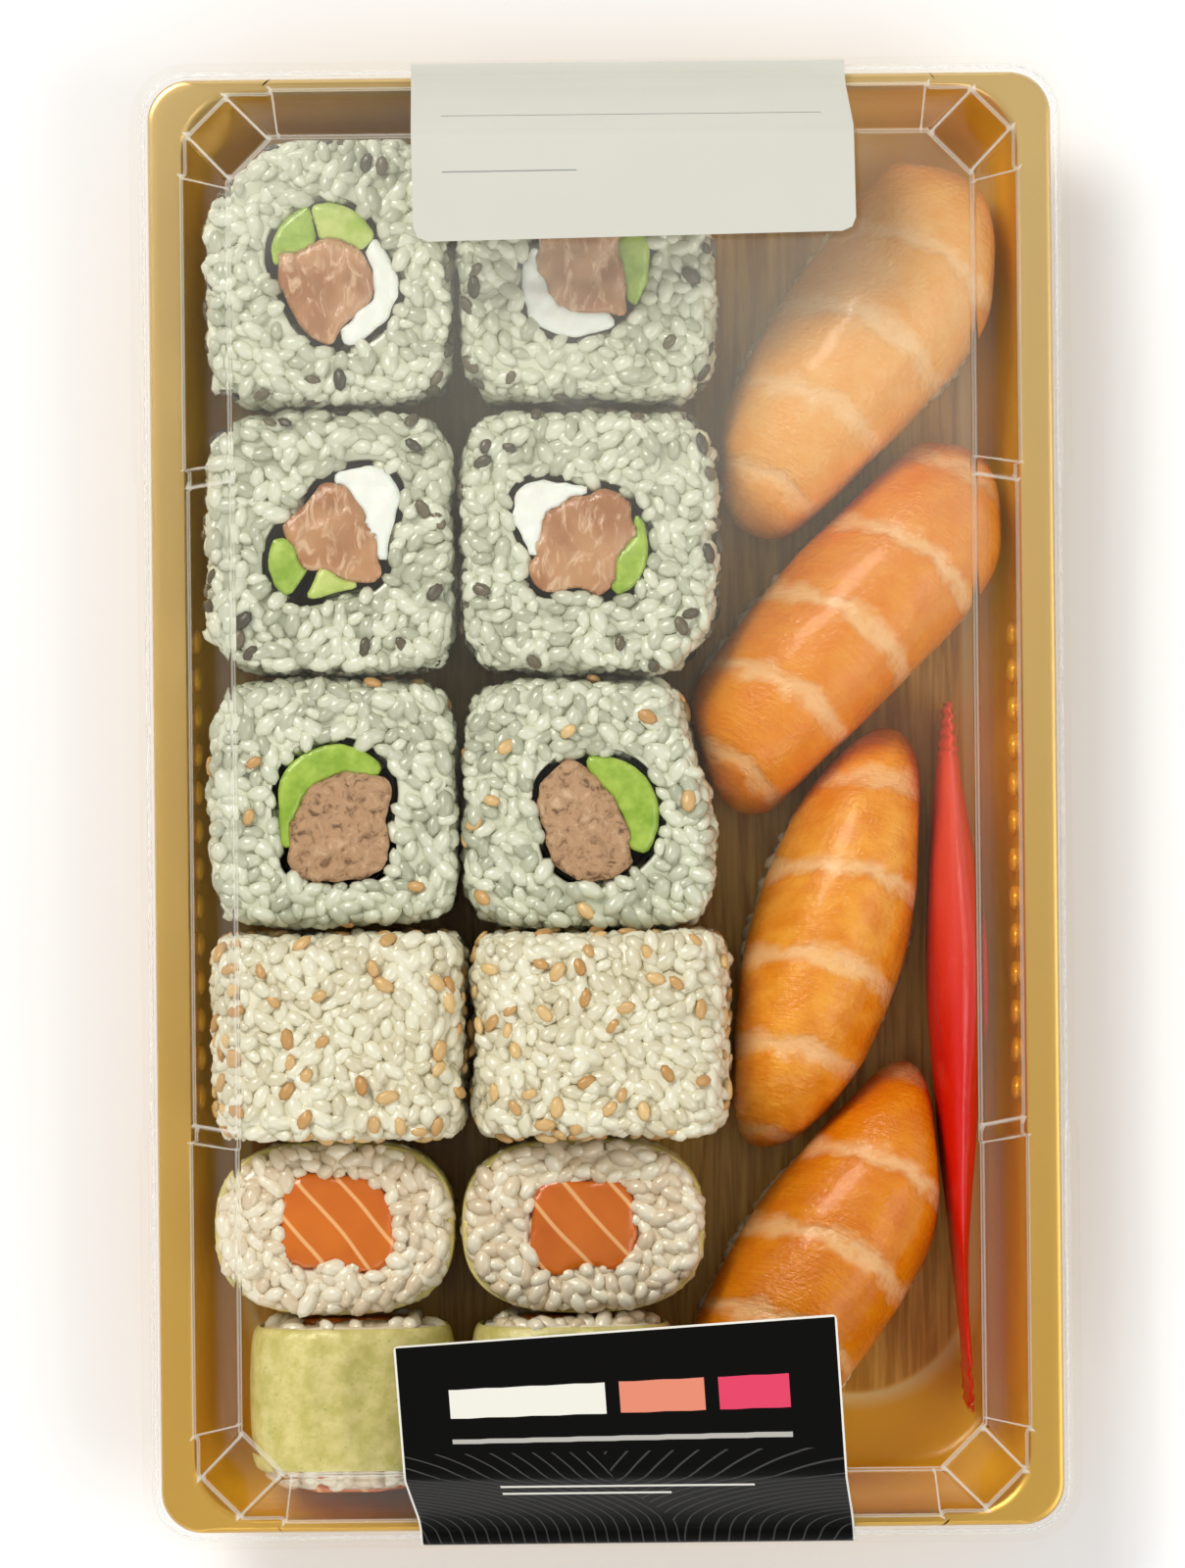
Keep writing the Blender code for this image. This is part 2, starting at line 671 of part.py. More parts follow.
def slice_grid(length, width, flare, inset, drop, planes):
    """The points of the draped surface, or of one that lies inset and dropped within it, row by row."""
    grid = []
    for i in range(NIGIRI_LENGTH_STEPS + 1):
        u = 2 * i / NIGIRI_LENGTH_STEPS - 1
        for j in range(NIGIRI_WIDTH_STEPS + 1):
            v = 2 * j / NIGIRI_WIDTH_STEPS - 1
            x, y, z = slice_point(u, v, length - 2 * inset, width - 2 * inset, NIGIRI_TOP - drop, flare)
            grid.append((*press(x, y, planes, inset), z))
    return grid


def grid_faces(start):
    faces = []
    row = NIGIRI_WIDTH_STEPS + 1
    for i in range(NIGIRI_LENGTH_STEPS):
        for j in range(NIGIRI_WIDTH_STEPS):
            corner = start + i * row + j
            faces.append((corner, corner + 1, corner + row + 1, corner + row))
    return faces


def grid_border():
    """Indices round the edge of the draped surface."""
    row = NIGIRI_WIDTH_STEPS + 1
    last = NIGIRI_LENGTH_STEPS * row
    border = list(range(0, row))
    border += [i * row + row - 1 for i in range(1, NIGIRI_LENGTH_STEPS + 1)]
    border += [last + j for j in range(NIGIRI_WIDTH_STEPS - 1, -1, -1)]
    border += [i * row for i in range(NIGIRI_LENGTH_STEPS - 1, 0, -1)]
    return border


def make_nigiri(name):
    (x, y), angle, length, width, flare = NIGIRI[name]
    holder = add_holder(name, (x, y, FLOOR), (0, 0, angle))
    planes = contacts(name, (x, y), angle)
    border = grid_border()
    count = len(border)

    upper = slice_grid(length, width, flare, 0.0, 0.0, planes)
    under = slice_grid(length, width, flare, FISH_INSET, FISH_THICKNESS, planes)
    size = len(upper)
    faces = grid_faces(0) + grid_faces(size)
    for k in range(count):
        a, b = border[k], border[(k + 1) % count]
        faces.append((a, b, size + b, size + a))
    add_mesh(f"{name}_salmon", upper + under, faces, fish_orange, holder)

    crown = slice_grid(length, width, flare, FISH_INSET + 2 * GAP, FISH_THICKNESS + 2 * GAP, planes)
    crown = [(px, py, pz - 2 * GAP) for px, py, pz in crown]
    points = list(crown)
    faces = grid_faces(0)
    above = border
    for height, share in RICE_FOOT:
        start = len(points)
        for k in border:
            px, py, pz = upper[k]
            rough = BUMP if height else 0.0
            points.append(
                (
                    px * share + rough * draw.uniform(-1, 1) - math.copysign(1.2, px),
                    py * share + rough * draw.uniform(-1, 1),
                    min(height, (pz - 1.0) * height / RICE_FOOT[0][0]),
                )
            )
        ring = list(range(start, start + count))
        for k in range(count):
            after = (k + 1) % count
            faces.append((above[k], above[after], ring[after], ring[k]))
        above = ring
    faces.append(tuple(above))
    add_mesh(f"{name}_rice", points, faces, rice, holder)


# Sachet


def station_at(share):
    """The sachet's place along, place across and half thickness, between the stations."""
    place = share * (len(SACHET_STATIONS) - 1)
    first = min(int(place), len(SACHET_STATIONS) - 2)
    pair = SACHET_STATIONS[first : first + 2]
    return [a + (b - a) * (place - first) for a, b in zip(*pair)]


def make_sachet():
    """A flat pouch on its long edge: lens-shaped sections that thin out into the seals."""
    points = []
    for step in range(SACHET_STEPS + 1):
        y, x, half = station_at(step / SACHET_STEPS)
        for k in range(SACHET_ROUND):
            angle = math.tau * (k + 0.5) / SACHET_ROUND
            rise = math.copysign(abs(math.sin(angle)) ** 0.8, math.sin(angle))
            points.append((x + half * math.cos(angle), y, FLOOR + SACHET_HEIGHT / 2 * (1 + rise)))
    faces = loft_faces(SACHET_STEPS + 1, SACHET_ROUND)
    faces.append(tuple(range(SACHET_ROUND)))
    faces.append(tuple(range(len(points) - SACHET_ROUND, len(points))))
    add_mesh("sachet", points, faces, red)


for old in list(bpy.data.objects):
    bpy.data.objects.remove(old)
pack = bpy.data.collections.new("takeaway_sushi_tray")
bpy.context.scene.collection.children.link(pack)
draw = random.Random(SEED)

gold = finish("gold plastic", (0.58, 0.33, 0.08), 0.3, 0.5)
clear = finish("clear film", (0.92, 0.93, 0.92), 0.08, 0.0, 0.25)
white_paper = finish("white paper", (0.76, 0.76, 0.72), 0.6)
black_paper = finish("black paper", (0.012, 0.009, 0.007), 0.45)
rice = finish("cooked rice", (0.72, 0.73, 0.62), 0.4)
nori = finish("nori", (0.012, 0.016, 0.01), 0.5)
wrap = finish("green wrap", (0.52, 0.5, 0.13), 0.45)
cheese = finish("cream cheese", (0.86, 0.85, 0.76), 0.5)
avocado = finish("avocado", (0.36, 0.46, 0.06), 0.4)
salmon = finish("salmon in rice", (0.52, 0.26, 0.13), 0.35)
orange = finish("salmon cut", (0.65, 0.14, 0.01), 0.35)
fish_orange = finish("salmon slice", (0.82, 0.32, 0.07), 0.3)
tuna = finish("cooked tuna", (0.48, 0.29, 0.17), 0.7)
red = finish("red film", (0.7, 0.03, 0.02), 0.3)

make_tray()
make_lid()
make_label("label_white", WHITE_LABEL, 1, white_paper)
make_label("label_black", BLACK_LABEL, -1, black_paper)
make_sachet()
for roll in FILLINGS:
    make_filled_roll(roll)
for roll in ("roll_4_left", "roll_4_right"):
    make_lying_rice(roll)
for roll in ("roll_5_left", "roll_5_right"):
    make_wrapped_roll(roll, lying=False)
for roll in ("roll_6_left", "roll_6_right"):
    make_wrapped_roll(roll, lying=True)
for piece in NIGIRI:
    make_nigiri(piece)
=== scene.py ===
import math

import bmesh
import bpy
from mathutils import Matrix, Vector, noise
from mathutils.bvhtree import BVHTree


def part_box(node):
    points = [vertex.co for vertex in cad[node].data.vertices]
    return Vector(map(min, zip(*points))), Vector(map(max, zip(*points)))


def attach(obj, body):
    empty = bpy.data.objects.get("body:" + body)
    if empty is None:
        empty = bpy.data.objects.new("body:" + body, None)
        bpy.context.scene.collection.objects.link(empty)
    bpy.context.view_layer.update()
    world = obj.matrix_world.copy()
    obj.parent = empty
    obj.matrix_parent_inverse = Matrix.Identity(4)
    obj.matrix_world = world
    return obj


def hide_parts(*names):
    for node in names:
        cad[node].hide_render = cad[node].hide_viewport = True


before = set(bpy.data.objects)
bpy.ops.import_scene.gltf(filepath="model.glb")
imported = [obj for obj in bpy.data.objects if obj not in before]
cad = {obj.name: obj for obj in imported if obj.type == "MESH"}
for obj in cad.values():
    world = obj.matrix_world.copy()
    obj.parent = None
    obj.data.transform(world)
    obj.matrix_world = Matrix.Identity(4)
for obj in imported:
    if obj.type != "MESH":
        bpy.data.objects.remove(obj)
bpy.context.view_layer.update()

# Looks of a shut takeaway sushi tray, seen from straight above. Metres in the scene, millimetres in
# the tables below.

mm = 0.001
scene = bpy.context.scene
scene.view_settings.view_transform = "Standard"


# Shader helpers


def newMaterial(name, colour, roughness, **sockets):
    made = bpy.data.materials.new(name)
    made.use_nodes = True
    shader = made.node_tree.nodes["Principled BSDF"]
    shader.inputs["Base Color"].default_value = (*colour, 1.0)
    shader.inputs["Roughness"].default_value = roughness
    for socket, value in sockets.items():
        shader.inputs[socket.replace("_", " ")].default_value = value
    made.diffuse_color = (*colour, 1.0)
    return made, made.node_tree, shader


def put(tree, kind, values=None, **settings):
    node = tree.nodes.new(kind)
    for name, value in settings.items():
        setattr(node, name, value)
    for name, value in (values or {}).items():
        if isinstance(value, bpy.types.NodeSocket):
            tree.links.new(value, node.inputs[name])
        else:
            node.inputs[name].default_value = value
    return node


def moved(tree, vector, **changes):
    return put(tree, "ShaderNodeMapping", {"Vector": vector, **changes}).outputs[0]


def placed(tree, stretch=(1.0, 1.0, 1.0)):
    return moved(tree, put(tree, "ShaderNodeTexCoord").outputs["Object"], Scale=stretch)


def axes(tree, vector):
    return put(tree, "ShaderNodeSeparateXYZ", {"Vector": vector}).outputs


def cloud(tree, vector, scale, detail=3.0, roughness=0.5, distortion=0.0):
    values = {
        "Vector": vector,
        "Scale": scale,
        "Detail": detail,
        "Roughness": roughness,
        "Distortion": distortion,
    }
    return put(tree, "ShaderNodeTexNoise", values).outputs["Fac"]


def smooth(tree, value, low, high):
    values = {"Value": value, "From Min": low, "From Max": high}
    return put(tree, "ShaderNodeMapRange", values, interpolation_type="SMOOTHSTEP").outputs["Result"]


def calc(tree, what, a, b=0.0):
    return put(tree, "ShaderNodeMath", {0: a, 1: b}, operation=what).outputs[0]


def product(tree, a, b):
    return calc(tree, "MULTIPLY", a, b)


def invert(tree, value):
    return calc(tree, "SUBTRACT", 1.0, value)


def hypotenuse(tree, a, b):
    return calc(tree, "SQRT", calc(tree, "ADD", calc(tree, "POWER", a, 2.0), calc(tree, "POWER", b, 2.0)))


def within(tree, value, low, high):
    return product(tree, calc(tree, "GREATER_THAN", value, low), calc(tree, "LESS_THAN", value, high))


def blendColour(tree, share, a, b):
    ends = [(*end, 1.0) if isinstance(end, tuple) else end for end in (a, b)]
    return put(tree, "ShaderNodeMix", {0: share, 6: ends[0], 7: ends[1]}, data_type="RGBA").outputs[2]


def giveColour(tree, shader, colour):
    tree.links.new(colour, shader.inputs["Base Color"])


def giveBump(tree, shader, height, distance, strength):
    bump = put(tree, "ShaderNodeBump", {"Height": height, "Distance": distance, "Strength": strength})
    tree.links.new(bump.outputs[0], shader.inputs["Normal"])


# Mesh helpers


def addPiece(name, mesh, material, slot, *replaced):
    piece = bpy.data.objects.new(name, mesh)
    scene.collection.objects.link(piece)
    mesh.materials.clear()
    mesh.materials.append(material)
    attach(piece, "root")
    if replaced:
        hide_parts(*replaced)
    return piece


def copyOf(node, name, quads=False):
    mesh = cad[node].data.copy()
    mesh.name = name
    shape = bmesh.new()
    shape.from_mesh(mesh)
    bmesh.ops.remove_doubles(shape, verts=shape.verts, dist=2e-6)
    if quads:
        bmesh.ops.join_triangles(
            shape, faces=shape.faces, angle_face_threshold=1.0, angle_shape_threshold=1.2, cmp_seam=False
        )
    for layer in list(shape.loops.layers.uv):
        shape.loops.layers.uv.remove(layer)
    shape.to_mesh(mesh)
    shape.free()
    return mesh


def makeMesh(name, points, faces, highlightMarks=None):
    mesh = bpy.data.meshes.new(name)
    mesh.from_pydata([Vector(point) * mm for point in points], [], faces)
    # The marks, kept as a point attribute, pick out the painted highlight lines on the lid's creases
    if highlightMarks:
        mesh.attributes.new("crease_highlight", "FLOAT", "POINT").data.foreach_set("value", highlightMarks)
    shape = bmesh.new()
    shape.from_mesh(mesh)
    bmesh.ops.remove_doubles(shape, verts=shape.verts, dist=1e-7)
    bmesh.ops.recalc_face_normals(shape, faces=shape.faces)
    shape.to_mesh(mesh)
    shape.free()
    return mesh


def settle(piece):
    graph = bpy.context.evaluated_depsgraph_get()
    mesh = bpy.data.meshes.new_from_object(piece.evaluated_get(graph), depsgraph=graph)
    mesh.name = piece.name
    piece.modifiers.clear()
    piece.data = mesh


def remesh(piece, voxel):
    change = piece.modifiers.new("remesh", "REMESH")
    change.mode = "VOXEL"
    change.voxel_size = voxel * mm
    change.use_smooth_shade = True
    settle(piece)


def subdivide(piece, levels):
    change = piece.modifiers.new("rounding", "SUBSURF")
    change.levels = levels
    change.render_levels = levels
    settle(piece)


def thicken(piece, thickness, offset=-1.0, even=True):
    change = piece.modifiers.new("thickness", "SOLIDIFY")
    change.thickness = thickness * mm
    change.offset = offset
    change.use_even_offset = even
    settle(piece)


def faceUp(piece):
    shape = bmesh.new()
    shape.from_mesh(piece.data)
    if max(shape.faces, key=lambda face: face.calc_area()).normal.z < 0:
        bmesh.ops.reverse_faces(shape, faces=shape.faces)
    shape.to_mesh(piece.data)
    shape.free()


def shadeSoft(piece, angle=180.0):
    shape = bmesh.new()
    shape.from_mesh(piece.data)
    for face in shape.faces:
        face.smooth = True
    for edge in shape.edges:
        edge.smooth = not (len(edge.link_faces) == 2 and edge.calc_face_angle(0.0) > math.radians(angle))
    shape.to_mesh(piece.data)
    shape.free()


def steadyNormals(piece):
    change = piece.modifiers.new("normals", "WEIGHTED_NORMAL")
    change.keep_sharp = True
    settle(piece)


def pushOut(piece, rule):
    mesh = piece.data
    normals = [Vector(vertex.normal) for vertex in mesh.vertices]
    for vertex, normal in zip(mesh.vertices, normals):
        vertex.co += normal * rule(vertex.co, normal) * mm
    mesh.update()


def ripple(place, size, seed=0.0):
    return noise.noise(Vector(place) / (size * mm) + Vector((seed, seed * 1.7, -seed)))


def nearTop(place, top, depth):
    return min(1.0, max(0.0, (place.z - top + depth * mm) / (depth * mm)))


def loftFaces(rings, count):
    faces = []
    for low in range(0, (rings - 1) * count, count):
        high = low + count
        for step in range(count):
            after = (step + 1) % count
            faces.append((low + step, low + after, high + after, high + step))
    return faces


# One scatter tree for rice grains and both kinds of sesame: small ovals laid on a surface. It leaves
# out the points whose attribute "bare" is 1.

sizeRange = (0.72, 1.14)
mostPerSquareMetre = 900000.0
halfTurn = 3.1416


def makeScatter():
    tree = bpy.data.node_groups.new("scatter", "GeometryNodeTree")
    face = tree.interface
    face.new_socket("Geometry", in_out="INPUT", socket_type="NodeSocketGeometry")
    for name, kind, value in (
        ("Spacing", "NodeSocketFloat", 0.002),
        ("Density", "NodeSocketFloat", 1.0),
        ("Seed", "NodeSocketInt", 1),
        ("Size", "NodeSocketVector", (0.003, 0.0013, 0.0013)),
        ("Lift", "NodeSocketFloat", 0.0),
        ("Tilt", "NodeSocketFloat", 0.4),
        ("Least Up", "NodeSocketFloat", -0.6),
        ("Sides", "NodeSocketInt", 8),
        ("Rings", "NodeSocketInt", 4),
        ("Keep Surface", "NodeSocketBool", True),
        ("Material", "NodeSocketMaterial", None),
    ):
        socket = face.new_socket(name, in_out="INPUT", socket_type=kind)
        if value is not None:
            socket.default_value = value
    face.new_socket("Geometry", in_out="OUTPUT", socket_type="NodeSocketGeometry")
    start = tree.nodes.new("NodeGroupInput").outputs

    # Points on the surface
    up = axes(tree, put(tree, "GeometryNodeInputNormal").outputs[0])["Z"]
    facing = put(tree, "FunctionNodeCompare", {0: up, 1: start["Least Up"]}, operation="GREATER_THAN")
    bare = put(tree, "GeometryNodeInputNamedAttribute", {"Name": "bare"}, data_type="FLOAT")
    free = put(tree, "FunctionNodeCompare", {0: bare.outputs[0], 1: 0.5}, operation="LESS_THAN")
    both = put(
        tree, "FunctionNodeBooleanMath", {0: facing.outputs[0], 1: free.outputs[0]}, operation="AND"
    )
    points = put(
        tree,
        "GeometryNodeDistributePointsOnFaces",
        {
            "Mesh": start["Geometry"],
            "Selection": both.outputs[0],
            "Distance Min": start["Spacing"],
            "Density Max": mostPerSquareMetre,
            "Density Factor": start["Density"],
            "Seed": start["Seed"],
        },
        distribute_method="POISSON",
    )

    # A random turn about the surface's normal, and a random tilt and size
    align = put(
        tree, "FunctionNodeAlignRotationToVector", {"Vector": points.outputs["Normal"]}, axis="Z"
    )
    minus = product(tree, start["Tilt"], -1.0)
    low = put(tree, "ShaderNodeCombineXYZ", {"X": minus, "Y": minus, "Z": -halfTurn})
    high = put(tree, "ShaderNodeCombineXYZ", {"X": start["Tilt"], "Y": start["Tilt"], "Z": halfTurn})
    turn = put(
        tree,
        "FunctionNodeRandomValue",
        {0: low.outputs[0], 1: high.outputs[0], "Seed": start["Seed"]},
        data_type="FLOAT_VECTOR",
    )
    asTurn = put(tree, "FunctionNodeEulerToRotation", {0: turn.outputs[0]})
    rotate = put(
        tree,
        "FunctionNodeRotateRotation",
        {0: align.outputs[0], 1: asTurn.outputs[0]},
        rotation_space="LOCAL",
    )
    size = put(
        tree,
        "FunctionNodeRandomValue",
        {2: sizeRange[0], 3: sizeRange[1], "Seed": start["Seed"]},
        data_type="FLOAT",
    )

    # The grain, laid at each point
    grain = put(
        tree,
        "GeometryNodeMeshUVSphere",
        {"Radius": 1.0, "Segments": start["Sides"], "Rings": start["Rings"]},
    )
    shaped = put(tree, "GeometryNodeTransform", {"Geometry": grain.outputs[0], "Scale": start["Size"]})
    soft = put(tree, "GeometryNodeSetShadeSmooth", {"Geometry": shaped.outputs[0]})
    laid = put(
        tree,
        "GeometryNodeInstanceOnPoints",
        {
            "Points": points.outputs["Points"],
            "Instance": soft.outputs[0],
            "Rotation": rotate.outputs[0],
            "Scale": size.outputs[1],
        },
    )
    lift = put(tree, "ShaderNodeCombineXYZ", {"Z": start["Lift"]}).outputs[0]
    raised = put(
        tree, "GeometryNodeTranslateInstances", {"Instances": laid.outputs[0], "Translation": lift}
    )
    whole = put(tree, "GeometryNodeRealizeInstances", {"Geometry": raised.outputs[0]})
    painted = put(
        tree, "GeometryNodeSetMaterial", {"Geometry": whole.outputs[0], "Material": start["Material"]}
    )
    surface = put(
        tree,
        "GeometryNodeSwitch",
        {0: start["Keep Surface"], 2: start["Geometry"]},
        input_type="GEOMETRY",
    )
    joined = put(tree, "GeometryNodeJoinGeometry")
    tree.links.new(painted.outputs[0], joined.inputs[0])
    tree.links.new(surface.outputs[0], joined.inputs[0])
    end = tree.nodes.new("NodeGroupOutput")
    tree.links.new(joined.outputs[0], end.inputs[0])
    return tree


scatterTree = makeScatter()
scatterKeys = {
    item.name: item.identifier for item in scatterTree.interface.items_tree if item.in_out == "INPUT"
}


def scatter(piece, **values):
    change = piece.modifiers.new("scatter", "NODES")
    change.node_group = scatterTree
    for name, value in values.items():
        change[scatterKeys[name.replace("_", " ")]] = value
    settle(piece)


# Rice: grains over a sunk surface that swells at two scales, each given as a height and a size. The
# grains start above the tray's floor.


def rollsOf(*rows):
    return [f"roll_{row}_{side}" for row in rows for side in ("left", "right")]


filledRolls = rollsOf(1, 2, 3)
sesameRolls = rollsOf(4)
wrappedRolls = rollsOf(5, 6)

riceTints = {
    "cool": {"pale": (0.74, 0.75, 0.585), "deep": (0.44, 0.455, 0.325)},
    "warm": {"pale": (0.84, 0.80, 0.62), "deep": (0.68, 0.62, 0.43)},
    "rosy": {"pale": (0.87, 0.79, 0.61), "deep": (0.72, 0.58, 0.40)},
}
grainShape = {"size": (2.15, 1.25, 1.1), "spacing": 1.65, "lift": 0.1, "tilt": 0.5}
riceSkin = {
    "voxel": 1.0,
    "sink": 0.9,
    "swells": ((0.45, 2.6), (0.5, 8.0)),
    "stillNear": 1.0,
    "leastHeight": 4.2,
}


def perIsland(tree):
    return put(tree, "ShaderNodeNewGeometry").outputs["Random Per Island"]


def makeRice(name, tint):
    made, tree, shader = newMaterial(name, tint["pale"], 0.3, Coat_Weight=0.2, Coat_Roughness=0.18)
    soft = cloud(tree, placed(tree), 190.0, 1.0)
    mixed = calc(tree, "ADD", product(tree, perIsland(tree), 0.7), product(tree, soft, 0.6))
    giveColour(tree, shader, blendColour(tree, smooth(tree, mixed, 0.25, 0.9), tint["deep"], tint["pale"]))
    return made


riceMaterials = {kind: makeRice(f"rice_{kind}", tint) for kind, tint in riceTints.items()}


def ricePiece(node, tint, seed, clearOf=(), sink=riceSkin["sink"], clearance=0.0):
    piece = addPiece(node + "_grains", copyOf(node, node + "_grains"), riceMaterials[tint], "rice", node)
    remesh(piece, riceSkin["voxel"])
    trees = []
    for other in clearOf:
        mesh = copyOf(other, "reach")
        faces = [tuple(face.vertices) for face in mesh.polygons]
        trees.append(BVHTree.FromPolygons([vertex.co for vertex in mesh.vertices], faces))
        bpy.data.meshes.remove(mesh)

    def near(place, reach):
        return any(tree.find_nearest(place, reach * mm)[0] is not None for tree in trees)

    def rule(place, normal):
        if near(place, riceSkin["stillNear"]) and abs(normal.z) < 0.8:
            return 0.0
        return sum([height * ripple(place, size, seed) for height, size in riceSkin["swells"]], -sink)

    pushOut(piece, rule)
    bare = piece.data.attributes.new("bare", "FLOAT", "POINT")
    for k, vertex in enumerate(piece.data.vertices):
        low = vertex.co.z < riceSkin["leastHeight"] * mm
        bare.data[k].value = 1.0 if low or near(vertex.co, clearance) else 0.0
    scatter(
        piece,
        Spacing=grainShape["spacing"] * mm,
        Seed=seed,
        Size=Vector(grainShape["size"]) * mm,
        Tilt=grainShape["tilt"],
        Lift=grainShape["lift"] * mm,
        Material=riceMaterials[tint],
    )


for seed, roll in enumerate(filledRolls, 1):
    ricePiece(f"{roll}_rice", "cool", seed, [f"{roll}_nori"], clearance=0.4)
for seed, roll in enumerate(sesameRolls, 21):
    ricePiece(f"{roll}_rice", "warm", seed)
for seed, roll in enumerate(wrappedRolls, 31):
    # Row 5 shows its grains right up to the wrap, and row 6 lies with the wrap over them
    clearance = 0.1 if roll in rollsOf(5) else 1.6
    others = [f"{roll}_wrap", f"{roll}_salmon"]
    ricePiece(f"{roll}_rice", "rosy", seed, others, sink=0.6, clearance=clearance)
for k in range(1, 5):
    ricePiece(f"nigiri_{k}_rice", "warm", k + 41, [f"nigiri_{k}_salmon"], sink=1.3, clearance=1.6)
print("rice done")


# Sesame, as seeds of their own on the rice. Black seeds keep off the middle of a roll.

sesameKinds = {
    "toasted": {"pale": (0.78, 0.54, 0.24), "deep": (0.50, 0.25, 0.07)},
    "black": {"pale": (0.15, 0.12, 0.065), "deep": (0.045, 0.036, 0.022)},
}
sesameShape = {
    "size": (1.65, 1.0, 0.55),
    "lift": 0.35,
    "tilt": 0.3,
    "voxel": 2.0,
    "leastHeight": 6.0,
    "middle": 15.0,
}


def makeSesame(kind):
    tint = sesameKinds[kind]
    made, tree, shader = newMaterial(f"sesame_{kind}", tint["pale"], 0.4)
    giveColour(tree, shader, blendColour(tree, perIsland(tree), tint["deep"], tint["pale"]))
    return made


def sesamePiece(node, kind, seed, spacing, density, leastUp):
    skin = makeSesame(kind)
    piece = addPiece(f"{node}_sesame", copyOf(node, f"{node}_sesame"), skin, "rice")
    remesh(piece, sesameShape["voxel"])
    bare = piece.data.attributes.new("bare", "FLOAT", "POINT")
    low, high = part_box(node)
    middle = (low + high) / 2
    for k, vertex in enumerate(piece.data.vertices):
        fromMiddle = (vertex.co - middle).to_2d().length
        inside = kind == "black" and fromMiddle < sesameShape["middle"] * mm
        bare.data[k].value = 1.0 if inside or vertex.co.z < sesameShape["leastHeight"] * mm else 0.0
    scatter(
        piece,
        Spacing=spacing * mm,
        Density=density,
        Seed=seed,
        Size=Vector(sesameShape["size"]) * mm,
        Tilt=sesameShape["tilt"],
        Lift=sesameShape["lift"] * mm,
        Least_Up=leastUp,
        Keep_Surface=False,
        Material=skin,
    )


for seed, roll in enumerate(sesameRolls, 61):
    sesamePiece(f"{roll}_rice", "toasted", seed, spacing=2.4, density=0.24, leastUp=-0.2)
for seed, roll in enumerate(rollsOf(1, 2), 71):
    sesamePiece(f"{roll}_rice", "black", seed, spacing=2.2, density=0.17, leastUp=-0.2)
for seed, roll in enumerate(rollsOf(3), 81):
    sesamePiece(f"{roll}_rice", "toasted", seed, spacing=3.0, density=0.07, leastUp=-0.1)
print("sesame done")


# Fillings: each cut face is rough, and spreads a little sideways near the top


def makeSalmonFilling():
    made, tree, shader = newMaterial(
        "salmon_filling", (0.55, 0.30, 0.16), 0.32, Subsurface_Weight=0.3, Subsurface_Scale=0.003
    )
    fibres = cloud(tree, placed(tree, (1.0, 0.45, 0.6)), 480.0, 4.0, 0.6, 1.2)
    patches = cloud(tree, placed(tree), 130.0, 2.0)
    colour = blendColour(tree, smooth(tree, patches, 0.35, 0.65), (0.38, 0.155, 0.055), (0.54, 0.28, 0.125))
    colour = blendColour(tree, smooth(tree, fibres, 0.5, 0.68), colour, (0.70, 0.45, 0.27))
    giveColour(tree, shader, colour)
    giveBump(tree, shader, fibres, 0.0004, 0.6)
    return made


def makeCheese():
    made, tree, shader = newMaterial(
        "cream_cheese", (0.9, 0.89, 0.8), 0.5, Subsurface_Weight=0.25, Subsurface_Scale=0.003
    )
    lumps = cloud(tree, placed(tree), 700.0, 3.0)
    giveColour(tree, shader, blendColour(tree, lumps, (0.88, 0.87, 0.77), (0.95, 0.95, 0.89)))
    giveBump(tree, shader, lumps, 0.0003, 0.5)
    return made


def makeAvocado(name, flesh, rind):
    made, tree, shader = newMaterial(name, flesh, 0.35)
    mottle = cloud(tree, placed(tree), 260.0, 4.0, 0.6)
    giveColour(tree, shader, blendColour(tree, smooth(tree, mottle, 0.3, 0.7), rind, flesh))
    giveBump(tree, shader, cloud(tree, placed(tree), 900.0), 0.0002, 0.4)
    return made


def makeTuna():
    made, tree, shader = newMaterial("tuna", (0.52, 0.31, 0.17), 0.6)
    crumbs = cloud(tree, placed(tree), 620.0, 5.0, 0.65, 0.6)
    colour = blendColour(tree, smooth(tree, crumbs, 0.32, 0.5), (0.16, 0.075, 0.03), (0.50, 0.29, 0.15))
    colour = blendColour(tree, smooth(tree, crumbs, 0.52, 0.72), colour, (0.66, 0.44, 0.27))
    giveColour(tree, shader, colour)
    giveBump(tree, shader, crumbs, 0.0008, 0.9)
    return made


def makeSalmonCut():
    made, tree, shader = newMaterial("salmon_cut", (0.6, 0.14, 0.005), 0.3, Coat_Weight=0.1)
    turned = moved(tree, placed(tree), Rotation=(0.0, 0.0, math.radians(-38)))
    values = {"Vector": turned, "Scale": 62.0, "Distortion": 2.2, "Detail": 1.0, "Detail Scale": 0.8}
    lines = put(tree, "ShaderNodeTexWave", values).outputs["Fac"]
    patches = cloud(tree, placed(tree), 160.0, 3.0)
    colour = blendColour(tree, patches, (0.50, 0.085, 0.002), (0.74, 0.19, 0.008))
    colour = blendColour(tree, smooth(tree, lines, 0.94, 1.0), colour, (0.86, 0.44, 0.17))
    giveColour(tree, shader, colour)
    giveBump(tree, shader, lines, 0.0004, 0.5)
    return made


